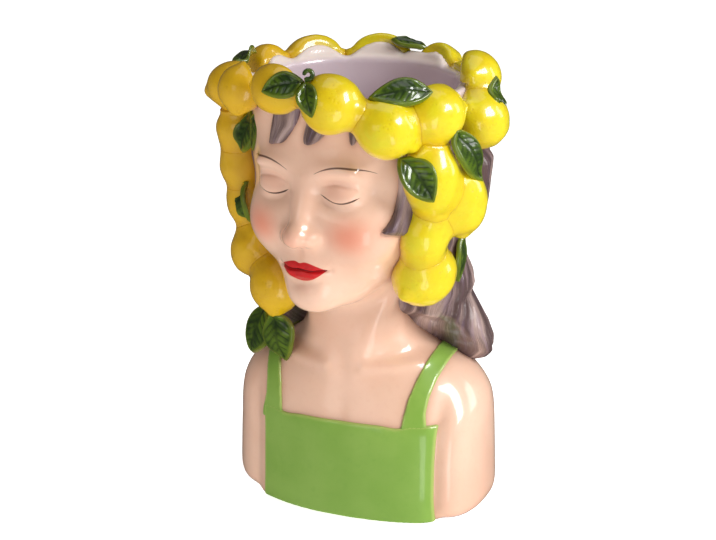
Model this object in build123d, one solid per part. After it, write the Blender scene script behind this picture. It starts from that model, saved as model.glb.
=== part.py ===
from build123d import *
import math
import os

# A glazed earthenware planter in the form of a girl's head and shoulders.
# Millimetres, +Z up, the figure looks along -Y, its own left is +X.
# The planting well is the open crown of the head.

os.makedirs("parts", exist_ok=True)

# ---------------------------------------------------------------- driving sizes
WALL = 6.0                    # cast wall
TORSO_YAW = 6.0               # the shoulders turn a little to the figure's left
HEAD_YAW = -6.0               # the face turns a little to the figure's right
HEAD_Y = -9.0                 # the head axis stands in front of the body axis
SEAM_Z = 118.0                # where the neck is luted to the shoulders
RIM_Z = 297.0                 # top of the glazed lip
CROWN_R = 75.0                # outside of the flared lip
WELL_R = 65.0                 # bore of the planting well
FOOT_W = 9.0                  # width of the foot ring
RECESS = 3.0                  # recess of the floor above the table
FLOOR_TOP = 9.0               # inside face of the floor
HOLE_R = 9.0                  # drain hole
PLUG_R = 8.65                 # stopper shank
PLUG_FLANGE_R = 13.0
RELIEF = 1.4                  # how far the bodice and straps stand proud
LEMON_GAP = 0.05              # half of the joint between two lemons
LEAF_T = 3.2                  # leaf thickness

# outside of the shoulders: height, half width, half depth, centre y, squareness
TORSO = [
    (0, 89.2, 60.5, 0, 2.15), (14, 89.8, 61.2, 0, 2.2), (40, 89.2, 60.5, 0, 2.2),
    (62, 88.4, 59.0, 0.5, 2.2), (76, 86.5, 56.0, 1, 2.2), (88, 81.5, 51.5, 1.5, 2.1),
    (98, 71.5, 46.5, 1.5, 2.05), (106, 58.5, 42.0, 1.0, 2.0), (112, 48.5, 39.5, 0, 2.0),
    (SEAM_Z, 42.0, 37.5, -1.5, 2.0),
]
TORSO_X, TORSO_Y = 1.5, 0.5   # the shoulders stand a touch to one side of the drain hole
LEAN = 0.13                   # the chest is fuller in front of the figure's left arm
SQUARE_L, SQUARE_R = 0.55, 0.22   # that arm stands squarer in front, the other rounder
DRESS_X = 3.5                 # the bodice sits round with it
# head: a turned skull and crown, a rounder face set forward, and the neck
SKULL_R = 70.0                # skull radius
SKULL_Z = 222.0               # height of the skull's centre
FACE_R = 58.0                 # face radius
FACE_Y = -21.0
FACE_Z = 204.0
NECK_R = 34.5
NECK_Y = -4.0
LIP_Z = 284.0                 # where the crown starts to flare into the lip
# hair that falls behind: outside of the turned part (radius, height) and the spread over the back
HAIR_UP = [(78.0, 262.0), (78.5, 236.0), (75.0, 206.0), (70.5, 178.0), (69.5, 152.0), (71.0, 132.0)]
HAIR_LOW = [(69.0, 160.0), (74.5, 140.0), (81.0, 118.0), (85.5, 102.0), (82.5, 93.0), (78.0, 90.0)]
HAIR_BACK_Y = 68.0

# lemons: name, bearing about the head axis, height, distance from the axis,
# half length, half width, and the lie of the long axis (along, up, outward)
LEMONS = [
    ("crown_lemon_01_front", 12.3, 290.9, 79.0, 19.0, 19.5, (1, -.1, .2)),
    ("crown_lemon_02_front_left", 37.3, 275.5, 80.0, 20.8, 19.8, (.8, -.6, .1)),
    ("crown_lemon_03_left", 62.0, 281.0, 78.5, 20.5, 19.5, (1, .1, .2)),
    ("crown_lemon_04_left_low", 103.0, 265.0, 81.0, 20.5, 18.5, (.8, -.45, .3)),
    ("crown_lemon_05_left_high", 115.0, 290.0, 75.5, 18.5, 17.5, (1, -.3, .1)),
    ("crown_lemon_06_back_left", 137.0, 281.0, 76.0, 14.5, 13.5, (.9, .2, .2)),
    ("crown_lemon_07_back_left", 160.0, 286.5, 71.5, 18.5, 15.5, (.3, -.2, -1)),
    ("crown_lemon_08_back", -166.5, 286.0, 73.0, 21.5, 18.0, (1, 0, 0)),
    ("crown_lemon_09_back_right", -131.5, 286.0, 78.0, 21.0, 16.8, (-1, 0, 0)),
    ("crown_lemon_10_right", -104.6, 285.6, 78.2, 16.8, 15.1, (-.2, .35, 1)),
    ("crown_lemon_11_right_low", -74.0, 282.0, 84.5, 18.0, 15.5, (-.2, -.35, 1)),
    ("crown_lemon_12_right", -46.6, 288.5, 80.0, 15.8, 15.3, (.3, -.8, .2)),
    ("crown_lemon_13_brow", -16.5, 296.2, 77.0, 18.5, 16.6, (-1, 0, .1)),
    ("under_lemon_1_back_left", 128.0, 255.5, 78.5, 17.5, 14.5, (1, -.3, .1)),
    ("under_lemon_2_back_left", 153.0, 257.5, 77.0, 17.0, 15.0, (.8, .5, .1)),
    ("under_lemon_3_back", 177.4, 256.5, 76.0, 18.0, 15.0, (1, -.2, .1)),
    ("under_lemon_4_back_right", -154.0, 255.0, 77.5, 17.0, 15.0, (.9, .4, .1)),
    ("under_lemon_5_back_right", -127.0, 254.0, 79.0, 18.5, 15.5, (1, -.4, .1)),
    ("left_fall_lemon_1", 60.9, 239.1, 78.0, 25.0, 19.0, (.1, -1, 0)),
    ("left_fall_lemon_2", 80.5, 221.0, 77.5, 25.5, 19.0, (.1, -1, .1)),
    ("left_fall_lemon_3", 62.3, 199.2, 68.0, 20.5, 17.0, (-.2, -1, 0)),
    ("left_fall_lemon_4", 69.9, 169.1, 60.0, 23.5, 21.0, (-.9, -.45, .1)),
    ("right_fall_lemon_1", -78.0, 251.0, 82.0, 17.0, 15.5, (-.3, -.9, .3)),
    ("right_fall_lemon_2", -80.0, 225.5, 81.0, 16.5, 15.5, (-.1, -1, .1)),
    ("right_fall_lemon_3", -82.0, 199.2, 77.9, 16.5, 15.0, (.1, -1, 0)),
    ("right_fall_lemon_4", -80.0, 166.0, 75.0, 20.0, 17.0, (-.5, -.8, .2)),
    ("right_fall_lemon_5", -62.0, 148.6, 55.5, 20.0, 18.0, (.4, -.9, .1)),
    ("right_fall_lemon_6_behind", -103.0, 234.0, 79.0, 18.0, 15.5, (.2, -1, .1)),
    ("right_fall_lemon_7_behind", -103.5, 203.0, 76.0, 17.0, 15.0, (-.3, -.9, .1)),
]

# leaves: name, stalk end, tip, width, facing, sideways bend, crown radius
LEAVES = [
    ("leaf_rim_right", (-81.0, -24.4, 294.5), (-84.9, 0.4, 301.4), 17, (-.20, -.62, .75), 0, 30),
    ("leaf_brow_flat", (1.6, -98.6, 307.6), (-25.2, -102.4, 298.7), 18, (.02, -.93, .37), 0, 30),
    ("leaf_brow_hanging", (4.7, -99.0, 307.2), (12.9, -106.5, 286.4), 14, (.34, -.82, .46), 0, 30),
    ("leaf_crown_front", (74.9, -58.9, 301.0), (42.5, -83.8, 300.0), 20, (.47, -.64, .60), 0, 36),
    ("leaf_rim_back", (-9.5, 65.5, 299.3), (15.6, 68.0, 295.3), 14, (.03, .05, .99), 0, 60),
    ("leaf_rim_left", (86.3, 12.6, 271.5), (81.9, 19.2, 294.1), 16, (.86, -.05, .40), 0, 30),
    ("leaf_fall_left_high", (88.1, -49.5, 272.7), (96.3, -20.7, 233.7), 20, (.98, -.21, .03), 0, 42),
    ("leaf_temple_left", (57.3, -70.6, 256.5), (77.9, -64.2, 228.3), 22.6, (.60, -.76, .26), -2.4, 36),
    ("leaf_temple_right_outer", (-59.5, -45.0, 271.0), (-76.0, -42.0, 239.0), 20, (-.5, -.83, .24), -2, 34),
    ("leaf_temple_right_inner", (-50.1, -51.0, 271.4), (-59.0, -50.0, 243.3), 14, (-.25, -.96, .05), 0, 34),
    ("leaf_fall_right_low", (-75.0, -37.0, 216.2), (-69.6, -34.6, 187.1), 15, (-.9, -.4, -.16), 0, 34),
    ("leaf_tail_right_outer", (-62.2, -37.4, 132.0), (-75.7, -37.6, 95.4), 24, (-.42, -.89, .15), -2, 34),
    ("leaf_tail_right_inner", (-47.5, -42.0, 131.8), (-39.3, -44.6, 97.4), 26, (-.06, -1.0, .03), 2, 34),
    ("leaf_fall_left_behind", (76.2, -6.0, 191.0), (74.0, -6.5, 158.0), 16, (.99, .08, -.05), 0, 34),
    ("leaf_back_high", (12.0, 86.0, 268.0), (-14.0, 83.0, 251.0), 17, (-.05, 1, .1), 0, 34),
    ("leaf_back_left", (59.2, 60.6, 267.0), (73.6, 51.4, 241.0), 18, (.72, .70, .05), 0, 36),
    ("leaf_back_right", (-66.0, 56.0, 272.0), (-80.0, 42.0, 246.0), 18, (-.75, .66, .1), 0, 36),
    ("leaf_fall_right_behind", (-88.0, 12.0, 222.0), (-84.0, 16.0, 192.0), 15, (-.88, .46, 0), 0, 34),
]


# ---------------------------------------------------------------- small helpers
def pchip(xs, ys, x):
    """Monotone cubic through the table, so the skins never ripple."""
    n = len(xs)
    h = [xs[i + 1] - xs[i] for i in range(n - 1)]
    d = [(ys[i + 1] - ys[i]) / h[i] for i in range(n - 1)]
    m = [d[0]] + [0.0] * (n - 2) + [d[-1]]
    for i in range(1, n - 1):
        if d[i - 1] * d[i] > 0:
            w1, w2 = 2 * h[i] + h[i - 1], h[i] + 2 * h[i - 1]
            m[i] = (w1 + w2) / (w1 / d[i - 1] + w2 / d[i])
    i = max(k for k in range(n - 1) if xs[k] <= x or k == 0)
    t = (x - xs[i]) / h[i]
    return (ys[i] * (1 + 2 * t) * (1 - t) ** 2 + h[i] * m[i] * t * (1 - t) ** 2
            + ys[i + 1] * t * t * (3 - 2 * t) + h[i] * m[i + 1] * t * t * (t - 1))


def oval(z, a, b, cy, n):
    pts = []
    for k in range(20):
        q = 2 * math.pi * k / 20
        c, s = math.cos(q), math.sin(q)
        low = min(1.0, max(0.0, (100 - z) / 60))
        m = n + (SQUARE_L if c > 0 else SQUARE_R) * c * low if s < 0 else n
        u = math.copysign(abs(c) ** (2 / m), c)
        v = math.copysign(abs(s) ** (2 / m), s)
        fuller = 1 + LEAN * u * low if v < 0 else 1.0
        pts.append((a * u, cy + b * v * fuller, z))
    return make_face(Spline(*pts, periodic=True))


def skin(rows, grow=0.0, z0=None, z1=None, step=9.0):
    """Solid lofted through the table, swelled by grow, between z0 and z1."""
    zs = [r[0] for r in rows]
    z0 = zs[0] if z0 is None else z0
    z1 = zs[-1] if z1 is None else z1
    count = max(3, int(round((z1 - z0) / step)) + 1)
    faces = []
    for k in range(count):
        z = z0 + (z1 - z0) * k / (count - 1)
        zz = min(max(z, zs[0]), zs[-1])
        a, b, cy, n = [pchip(zs, [r[j] for r in rows], zz) for j in (1, 2, 3, 4)]
        faces.append(oval(z, a + grow, b + grow, cy, n))
    return loft(faces)


def about_head(phi, z, r):
    p = math.radians(phi)
    return Vector(r * math.sin(p), HEAD_Y - r * math.cos(p), z)


def lie(phi, axis):
    p = math.radians(phi)
    et, er = Vector(math.cos(p), math.sin(p), 0), Vector(math.sin(p), -math.cos(p), 0)
    return (et * axis[0] + Vector(0, 0, 1) * axis[1] + er * axis[2]).normalized()


def lemon(a, b):
    """A lemon on end: full flanks, rounded ends, a small nipple at the top."""
    a = max(a, b + 0.8)
    neck_r = 2.4
    neck_z = a * math.sqrt(1 - (neck_r / b) ** 2)
    low = Bezier((0, 0, -a), (0.58 * b, 0, -a), (b, 0, -0.56 * a), (b, 0, 0))
    high = Bezier((b, 0, 0), (b, 0, 0.56 * a), (neck_r + 0.50 * b, 0, neck_z), (neck_r, 0, neck_z))
    tip = Polyline((neck_r, 0, neck_z), (1.5, 0, a + 1.9), (0, 0, a + 2.5))
    face = make_face([low, high, tip, Line((0, 0, a + 2.5), (0, 0, -a))])
    return revolve(face, Axis.Z, 360)


def biggest(shape):
    return max(shape.solids(), key=lambda s: s.volume)


def slab(origin, direction, depth=90, size=260):
    """Everything beyond a plane."""
    return Plane(origin=origin, z_dir=direction) * Box(size, size, depth, align=(Align.CENTER, Align.CENTER, Align.MIN))


BOXES = {}


def box_of(shape):
    k = id(shape)
    if k not in BOXES:
        b = shape.bounding_box(optimal=False)
        BOXES[k] = (shape, (b.min.X, b.min.Y, b.min.Z), (b.max.X, b.max.Y, b.max.Z))
    return BOXES[k][1:]


def near(a, b, gap=0.3):
    """Whether two boxes come close."""
    (p, q), (r, s) = box_of(a), box_of(b)
    return all(p[k] < s[k] + gap and r[k] < q[k] + gap for k in range(3))


def carve(shape, tools):
    for t in tools:
        if near(shape, t):
            shape = shape - t
    return shape


TURN_T = Pos(TORSO_X, TORSO_Y, 0) * Rot(0, 0, TORSO_YAW)
TURN_H = Rot(0, 0, HEAD_YAW)

parts = {}

# ---------------------------------------------------------------- shoulders
torso_out = TURN_T * skin(TORSO)
chamber_rows = [(z, a - WALL, b - WALL, cy, n) for z, a, b, cy, n in TORSO]
chamber = TURN_T * skin(chamber_rows, z0=FLOOR_TOP, z1=SEAM_Z)
foot_recess = TURN_T * skin([(z, a - FOOT_W, b - FOOT_W, cy, n) for z, a, b, cy, n in TORSO], z0=-0.5, z1=RECESS, step=2)
torso = torso_out - chamber - foot_recess - Pos(0, 0, 6) * Cylinder(HOLE_R, 20)
parts["torso_casting"] = biggest(torso)

# ---------------------------------------------------------------- head
def turned(profile, arc_r=None, y=HEAD_Y):
    """Solid turned about the head axis; with arc_r the profile starts on a round underside."""
    pts = [(r, 0, z) for r, z in profile]
    edges = []
    if arc_r:
        c = profile[0][1]
        edges.append(ThreePointArc((0, 0, c - arc_r), (arc_r * math.sin(math.pi / 4), 0, c - arc_r * math.cos(math.pi / 4)), pts[0]))
        start = (0, 0, c - arc_r)
    else:
        start = (0, 0, profile[0][1])
        edges.append(Line(start, pts[0]))
    edges.append(Polyline(*pts))
    end = (0, 0, profile[-1][1])
    edges += [Line(pts[-1], end), Line(end, start)]
    return Pos(0, y, 0) * revolve(make_face(edges), Axis.Z, 360)


def crown_form(grow):
    return turned([(SKULL_R + grow, SKULL_Z), (SKULL_R + 1.5 + grow, LIP_Z), (CROWN_R + grow, RIM_Z)], SKULL_R + grow)


nose = TURN_H * Pos(0, HEAD_Y - 69.0, 207) * Rot(8, 0, 0) * lemon(17, 8.5)
crown = crown_form(0)
face = TURN_H * Pos(0, FACE_Y, FACE_Z) * Sphere(FACE_R)
neck = Pos(0, NECK_Y, SEAM_Z) * Cylinder(NECK_R, 40, align=(Align.CENTER, Align.CENTER, Align.MIN))
head_skin = crown + face + neck
head_out = head_skin + nose
well = turned([(SKULL_R - WALL, SKULL_Z), (WELL_R, SKULL_Z + 28), (WELL_R, LIP_Z + 4), (68.0, LIP_Z + 9), (CROWN_R - 1.6, RIM_Z), (CROWN_R - 1.6, RIM_Z + 5)], SKULL_R - WALL)
face_bore = TURN_H * Pos(0, FACE_Y, FACE_Z) * Sphere(FACE_R - WALL)
throat = Pos(0, NECK_Y, SEAM_Z - 1) * Cylinder(NECK_R - WALL, 52, align=(Align.CENTER, Align.CENTER, Align.MIN))
parts["head_casting"] = biggest(head_out - (well + face_bore + throat))
crown_guard = Pos(0, HEAD_Y, RIM_Z) * Cylinder(CROWN_R, 40, align=(Align.CENTER, Align.CENTER, Align.MIN))

# ---------------------------------------------------------------- lemons
seats = []
for name, phi, z, r, a, b, axis in LEMONS:
    c = about_head(phi, z, r)
    d = lie(phi, axis)
    seats.append((name, c, d, a, b, Plane(origin=c, z_dir=d) * lemon(a, b)))


def reach(d, a, b, way):
    """Half extent of an egg of half axes a, b along a direction."""
    u = d.dot(way)
    return 1 / math.sqrt((u / a) ** 2 + max(0.0, 1 - u * u) / (b * b))


lemons = {}
for i, (name, c, d, a, b, solid) in enumerate(seats):
    for j, (_, c2, d2, a2, b2, _s) in enumerate(seats):
        gap = (c2 - c).length
        if i == j or gap > a + a2 + 6:
            continue
        way = (c2 - c).normalized()
        r1, r2 = reach(d, a, b, way), reach(d2, a2, b2, way)
        if gap >= r1 + r2:
            t = r1 + (gap - r1 - r2) / 2
        else:
            t = (gap * gap + r1 * r1 - r2 * r2) / (2 * gap)
        solid = solid - slab(c + way * (t - LEMON_GAP), way)
    solid = solid - head_skin
    if box_of(solid)[1][2] > RIM_Z:
        solid = solid - crown_guard
    lemons[name] = biggest(solid)

# ---------------------------------------------------------------- hair
side = make_face(Polyline((0, -34, 262), (0, -30, 205), (0, -24, 172), (0, -6, 150), (0, 6, 132), (0, 12, 112),
                          (0, 18, 90), (0, HAIR_BACK_Y, 90), (0, HAIR_BACK_Y + 6, 130), (0, HAIR_BACK_Y + 10, 262), close=True))
side = Pos(-110, 0, 0) * extrude(side, 220, dir=(1, 0, 0))
hair_form = turned(HAIR_UP[::-1]) + turned(HAIR_LOW[::-1], y=-3)
# a roll of hair that swells out behind the left fall of lemons
swell = about_head(115, 219, 70)
hair_form += Pos(swell) * Cylinder(18, 40)
hair_back = (hair_form & side) - head_skin
hair_back = biggest(hair_back - torso_out)
hair_back = carve(hair_back, lemons.values())
parts["hair_back"] = biggest(hair_back)


def patch(bearing, outline):
    """A relief that follows the head: outline is given in (x, z) as seen from its bearing."""
    p = math.radians(bearing)
    face = make_face(Polyline(*[(x * math.cos(p), x * math.sin(p), z) for x, z in outline], close=True))
    body = extrude(face, 140, dir=(math.sin(p), -math.cos(p), 0))
    return body


# locks on the brow, tapered to points, and the straight-cut lock before the ear
hair_skin = crown_form(3.6) - head_skin - crown_guard
locks = []
for bearing, outline in [
    (-15, [(-17, 277), (2, 277), (-6, 266), (-14, 258.5), (-19, 258), (-18, 268)]),
    (5, [(-10, 274), (3, 274), (4, 271), (-1, 265), (-9, 260.5), (-13, 263)]),
    (15, [(2.5, 271), (9.5, 271), (8.5, 268), (5.5, 263), (3.0, 262.5)]),
]:
    locks.append(biggest(carve(hair_skin & patch(bearing, outline), [q[5] for q in seats])))
merged = []
for k, s in enumerate(locks):
    for t in merged:
        s = biggest(s - t) if near(s, t) else s
    merged.append(s)
parts["fringe_locks"] = Compound(children=merged)

side_outline = [(-17, 262), (20, 262), (20, 200), (9, 198.5), (-4, 201), (-17.5, 206), (-11, 212), (-6, 222), (-5, 233), (-8, 246)]
side_lock = (crown_form(4.2) - head_skin) & patch(45, side_outline)
side_lock = carve(side_lock, [q[5] for q in seats] + [parts["hair_back"]])
parts["hair_side_lock"] = biggest(side_lock)

# ---------------------------------------------------------------- dress
dress_skin = (TURN_T * skin(TORSO, grow=RELIEF, z0=0, z1=SEAM_Z)) - torso_out
NECK_Z = 67.0


def front_block(pts, y0, y1):
    face = make_face(Polyline(*[(x, y0, z) for x, z in pts], close=True))
    return TURN_T * extrude(face, y1 - y0, dir=(0, 1, 0))


panel = [(-61.5, 0.8), (61.5, 0.8), (61.8, 68.5), (52, 67.5), (41, NECK_Z - 2), (20, NECK_Z - .5), (0, NECK_Z),
         (-20, NECK_Z - .5), (-41, NECK_Z - 2), (-52, 67.5), (-61.8, 68.5)]
panel = [(x + DRESS_X, z) for x, z in panel]
front = biggest(dress_skin & front_block(panel, -90, -2))
rear = biggest(dress_skin & front_block(panel, 2, 90))
parts["bodice_front"] = front
parts["bodice_back"] = rear
for tag, sx in (("left", 1), ("right", -1)):
    band = [(sx * x, z) for x, z in [(43.5, 50), (58.5, 50), (60.5, 84), (66.5, 122), (54.5, 122), (49.5, 92), (45, 74)]]
    strap = dress_skin & front_block(band, -90, 90)
    strap = strap - front - rear
    strap = carve(strap, list(lemons.values()) + [parts["hair_back"]])
    # one band over the shoulder, from the front panel to the back one or into the hair
    parts["strap_" + tag] = biggest(strap)

# ---------------------------------------------------------------- leaves
done = []
fixed = list(lemons.values()) + [parts[k] for k in ("hair_back", "hair_side_lock", "bodice_front", "bodice_back", "strap_left", "strap_right")]
fixed += merged
for name, stalk, tip, width, facing, bend, crown in LEAVES:
    s, t, f = Vector(*stalk), Vector(*tip), Vector(*facing)
    ax = (t - s).normalized()
    nn = (f - ax * f.dot(ax)).normalized()
    length = (t - s).length
    where = Plane(origin=s, x_dir=ax, z_dir=nn)
    upper, lower = [(0, .9)], [(0, -.9)]
    for q in (.12, .3, .5, .7, .86):
        w = width / 2 * math.sin(math.pi * q ** .85) ** .8
        o = -bend * math.sin(math.pi * q)
        upper.append((length * q, o + w))
        lower.append((length * q, o - w))
    face = make_face([Spline(*upper, (length, 0)), Spline(*lower, (length, 0)), Line(upper[0], lower[0])])
    blank = extrude(face, 12, both=True)
    low = crown + 1.2 - LEAF_T
    dome = Pos(length / 2, 0, -low) * (Sphere(low + LEAF_T) - Sphere(low))
    leaf = where * (blank & dome)
    leaf = carve(leaf, fixed + done + [head_skin, crown_guard] + ([torso_out] if min(s.Z, t.Z) < 112 else []))
    lf = biggest(leaf)
    done.append(lf)
    parts[name] = lf

# the curled stalk between the two brow leaves
curl = Plane(origin=(5.1, -94.5, 310.2), z_dir=(.42, -.85, .2)) * Torus(2.9, 1.35, major_angle=285)
curl = carve(curl, fixed + done + [crown_guard])
parts["stalk_curl"] = biggest(curl)

for k, v in lemons.items():
    parts[k] = v

# ---------------------------------------------------------------- stopper
plug = Pos(0, 0, 0.8) * Cylinder(PLUG_FLANGE_R, RECESS - 0.35 - 0.8, align=(Align.CENTER, Align.CENTER, Align.MIN))
plug += Pos(0, 0, 0.8) * Cylinder(PLUG_R, 10.4, align=(Align.CENTER, Align.CENTER, Align.MIN))
plug = chamfer(plug.edges().sort_by(Axis.Z)[-1], 1.2)
parts["drain_stopper"] = plug

# ---------------------------------------------------------------- place and write
SHIFT_X, SHIFT_Y = 0.0, 0.0
lo = [min(p.bounding_box().min.X for p in parts.values()), min(p.bounding_box().min.Y for p in parts.values())]
hi = [max(p.bounding_box().max.X for p in parts.values()), max(p.bounding_box().max.Y for p in parts.values())]
move = Pos(round(-(lo[0] + hi[0]) / 2, 2), round(-(lo[1] + hi[1]) / 2, 2), 0)
print("moved by", round(-(lo[0] + hi[0]) / 2, 2), round(-(lo[1] + hi[1]) / 2, 2), "nodes", len(parts))
for name, shape in parts.items():
    placed = move * shape
    placed.label = name
    export_step(placed, "parts/" + name + ".step")
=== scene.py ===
import math
import bpy
import bmesh
import numpy as np
from mathutils import Vector, Matrix


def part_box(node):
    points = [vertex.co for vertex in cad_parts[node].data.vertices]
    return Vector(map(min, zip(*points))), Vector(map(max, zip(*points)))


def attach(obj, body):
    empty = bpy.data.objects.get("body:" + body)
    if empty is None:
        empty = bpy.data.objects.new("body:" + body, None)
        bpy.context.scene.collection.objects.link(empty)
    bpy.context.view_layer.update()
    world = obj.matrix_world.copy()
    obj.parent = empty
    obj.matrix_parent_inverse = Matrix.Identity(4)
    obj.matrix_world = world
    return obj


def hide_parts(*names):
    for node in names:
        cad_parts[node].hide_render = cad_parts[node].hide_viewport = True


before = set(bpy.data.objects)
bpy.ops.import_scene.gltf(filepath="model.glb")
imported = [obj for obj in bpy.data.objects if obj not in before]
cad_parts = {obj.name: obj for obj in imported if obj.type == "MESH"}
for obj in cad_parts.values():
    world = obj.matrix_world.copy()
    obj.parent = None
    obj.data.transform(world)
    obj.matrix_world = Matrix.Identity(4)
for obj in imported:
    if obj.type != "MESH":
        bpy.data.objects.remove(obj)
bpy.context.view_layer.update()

# The modelling frame is in millimetres with the body axis at x = y = 0.
# The stopper sits on that axis, so its box says where the axis stands in the frame.
_lo, _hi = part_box("drain_stopper")
AXIS = np.array([(_lo[0] + _hi[0]) / 2, (_lo[1] + _hi[1]) / 2, 0.0])
HY = -9.0                      # head axis, in front of the body axis
TORSO_YAW, HEAD_YAW = math.radians(6.0), math.radians(-6.0)
RIM = 297.0


# ------------------------------------------------------------------ small maths
def smin(a, b, k):
    h = np.clip(0.5 + 0.5 * (b - a) / k, 0, 1)
    return b * (1 - h) + a * h - k * h * (1 - h)


def smax(a, b, k):
    return -smin(-a, -b, k)


def step(x, a, b):
    t = np.clip((x - a) / (b - a), 0, 1)
    return t * t * (3 - 2 * t)


def hump(x, c, w):
    return np.exp(-((x - c) / w) ** 2)


def rot_z(p, ang):
    c, s = math.cos(ang), math.sin(ang)
    return np.stack([p[:, 0] * c - p[:, 1] * s, p[:, 0] * s + p[:, 1] * c, p[:, 2]], 1)


def ball(p, c, r, rot=None):
    """Distance-like value of an ellipsoid; rot turns the point into the ellipsoid's own axes."""
    q = p - np.asarray(c, float)
    if rot is not None:
        q = q @ rot
    r = np.asarray(r, float)
    k0 = np.sqrt(((q / r) ** 2).sum(1)) + 1e-9
    k1 = np.sqrt(((q / (r * r)) ** 2).sum(1)) + 1e-9
    return k0 * (k0 - 1) / k1


def rod(p, a, b, ra, rb):
    a, b = np.asarray(a, float), np.asarray(b, float)
    d = b - a
    t = np.clip(((p - a) @ d) / (d @ d), 0, 1)
    return np.linalg.norm(p - a - t[:, None] * d, axis=1) - (ra + (rb - ra) * t)


def table(rows, smooth=3.0):
    """Rows (z, v1, v2, ...) turned into smooth functions of z."""
    rows = np.array(rows, float)
    z = np.arange(rows[0, 0] - 20, rows[-1, 0] + 20, 0.5)
    out = []
    ker = np.exp(-0.5 * (np.arange(-18, 19) * 0.5 / smooth) ** 2)
    ker /= ker.sum()
    for j in range(1, rows.shape[1]):
        v = np.interp(z, rows[:, 0], rows[:, j])
        out.append(np.convolve(np.pad(v, 18, mode="edge"), ker, "valid"))
    return lambda q: [np.interp(q, z, o) for o in out]


def noise3(p, scale, seed=0):
    """Smooth value noise, the same every run, in -1..1."""
    q = p / scale + seed * 17.137
    i = np.floor(q).astype(np.int64)
    f = q - i
    f = f * f * (3 - 2 * f)

    def h(a, b, c):
        n = (a * 374761393 + b * 668265263 + c * 2147483647 + seed * 1442695041) & 0x7FFFFFFF
        n = (n ^ (n >> 13)) * 1274126177 & 0x7FFFFFFF
        n = (n ^ (n >> 16)) & 0xFFFF
        return n / 32767.5 - 1.0
    x, y, z = i[:, 0], i[:, 1], i[:, 2]
    u, v, w = f[:, 0], f[:, 1], f[:, 2]
    c00 = h(x, y, z) * (1 - u) + h(x + 1, y, z) * u
    c10 = h(x, y + 1, z) * (1 - u) + h(x + 1, y + 1, z) * u
    c01 = h(x, y, z + 1) * (1 - u) + h(x + 1, y, z + 1) * u
    c11 = h(x, y + 1, z + 1) * (1 - u) + h(x + 1, y + 1, z + 1) * u
    return (c00 * (1 - v) + c10 * v) * (1 - w) + (c01 * (1 - v) + c11 * v) * w


def polar(p):
    x, y = p[:, 0], p[:, 1] - HY
    return np.degrees(np.arctan2(x, -y)), np.hypot(x, y)


def at(phi, z, r):
    a = math.radians(phi)
    return np.array([r * math.sin(a), HY - r * math.cos(a), z])


# ------------------------------------------------------------------ shoulders and neck
TORSO = table([
    (0, 89.2, 60.5, 0), (14, 89.8, 61.2, 0), (40, 89.0, 60.5, 0), (62, 88.0, 59.0, 0.5),
    (76, 86.0, 56.0, 1), (88, 81.0, 51.5, 1.5), (98, 71.0, 46.5, 1.5), (106, 58.0, 42.0, 1.0),
    (112, 48.0, 39.5, 0), (120, 38.0, 36.0, -1.5), (140, 24.0, 24.0, -3.0)], 3.5)


TORSO_AT = np.array([0.6, 0.5, 0.0])     # the shoulders stand a touch to one side of the drain hole
LEAN = 0.13                              # the chest is fuller in front of the figure's left arm
DRESS_X = 3.5                            # and the bodice sits round with it


def torso_local(p):
    q = rot_z(p - TORSO_AT, -TORSO_YAW)
    return q[:, 0], q[:, 1], q[:, 2]


def torso_sdf(p):
    x, y, z = torso_local(p)
    a, b, cy = TORSO(z)
    y = y - cy
    y = np.where(y < 0, y / (1 + LEAN * np.clip(x / a, -1, 1) * step(z, 100, 40)), y)
    u = np.clip(x / a, -1, 1)
    n = 2.12 + np.where(y < 0, np.where(x > 0, 0.55, 0.22) * u * step(z, 100, 40), 0.0)
    q1 = (np.abs(x / a) ** n + np.abs(y / b) ** n) ** (1 / n) + 1e-9
    d = np.hypot(x, y) * (1 - 1 / q1)
    # the furrow between the arm and the chest, front and back
    fade = step(z, 92, 66)
    d = d + 1.9 * hump(np.abs(x), 65.5, 4.2) * fade * step(np.abs(y), 8, 26)
    # fullness of the arm and of the chest
    d = d - (1.3 + 1.6 * step(x, 0, 20)) * hump(np.abs(x), 79, 9) * fade
    # collar bones and the hollow between them
    front = step(y, -4, -18)
    ax = np.abs(x)
    d = d - 2.2 * front * hump(z - (101 + 0.07 * ax), 0, 3.6) * step(ax, 7, 13) * step(ax, 62, 44)
    d = d + 2.0 * front * hump(z - (109 + 0.02 * ax), 0, 5) * step(ax, 12, 22) * step(ax, 58, 40)
    d = d + 2.0 * front * hump(x, 0, 6.5) * hump(z, 101, 8)
    d = d + 0.8 * front * hump(x, 0, 8) * hump(z, 74, 16)
    return d


def neck_sdf(p):
    q = rot_z(p, -0.5 * (TORSO_YAW + HEAD_YAW))
    d = rod(q, (0, 0, 96), (0, -7.5, 150), 35.5, 32.5)
    # the two cords of the neck that run down to the hollow
    for s in (1, -1):
        d = smin(d, rod(q, (s * 30, -22, 152), (s * 7, -35.5, 102), 5.5, 4.5), 9)
    return d


# ------------------------------------------------------------------ head
CROWN = table([(200, 60.0), (222, 66.5), (240, 69.5), (262, 70.5), (284, 71.5), (296, 75.5), (306, 77.0)], 3.0)
BORE = table([(190, 55.0), (208, 61.0), (224, 64.0), (240, 65.0), (286.6, 65.0), (288.0, 65.4), (291, 68.6), (297, 71.4), (304, 72.6)], 0.7)


def head_local(p):
    q = rot_z(p - np.array([0, HY, 0]), -HEAD_YAW)
    return np.stack([q[:, 0], -q[:, 1], q[:, 2]], 1)      # x to its own left, y forward, z up


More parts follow.
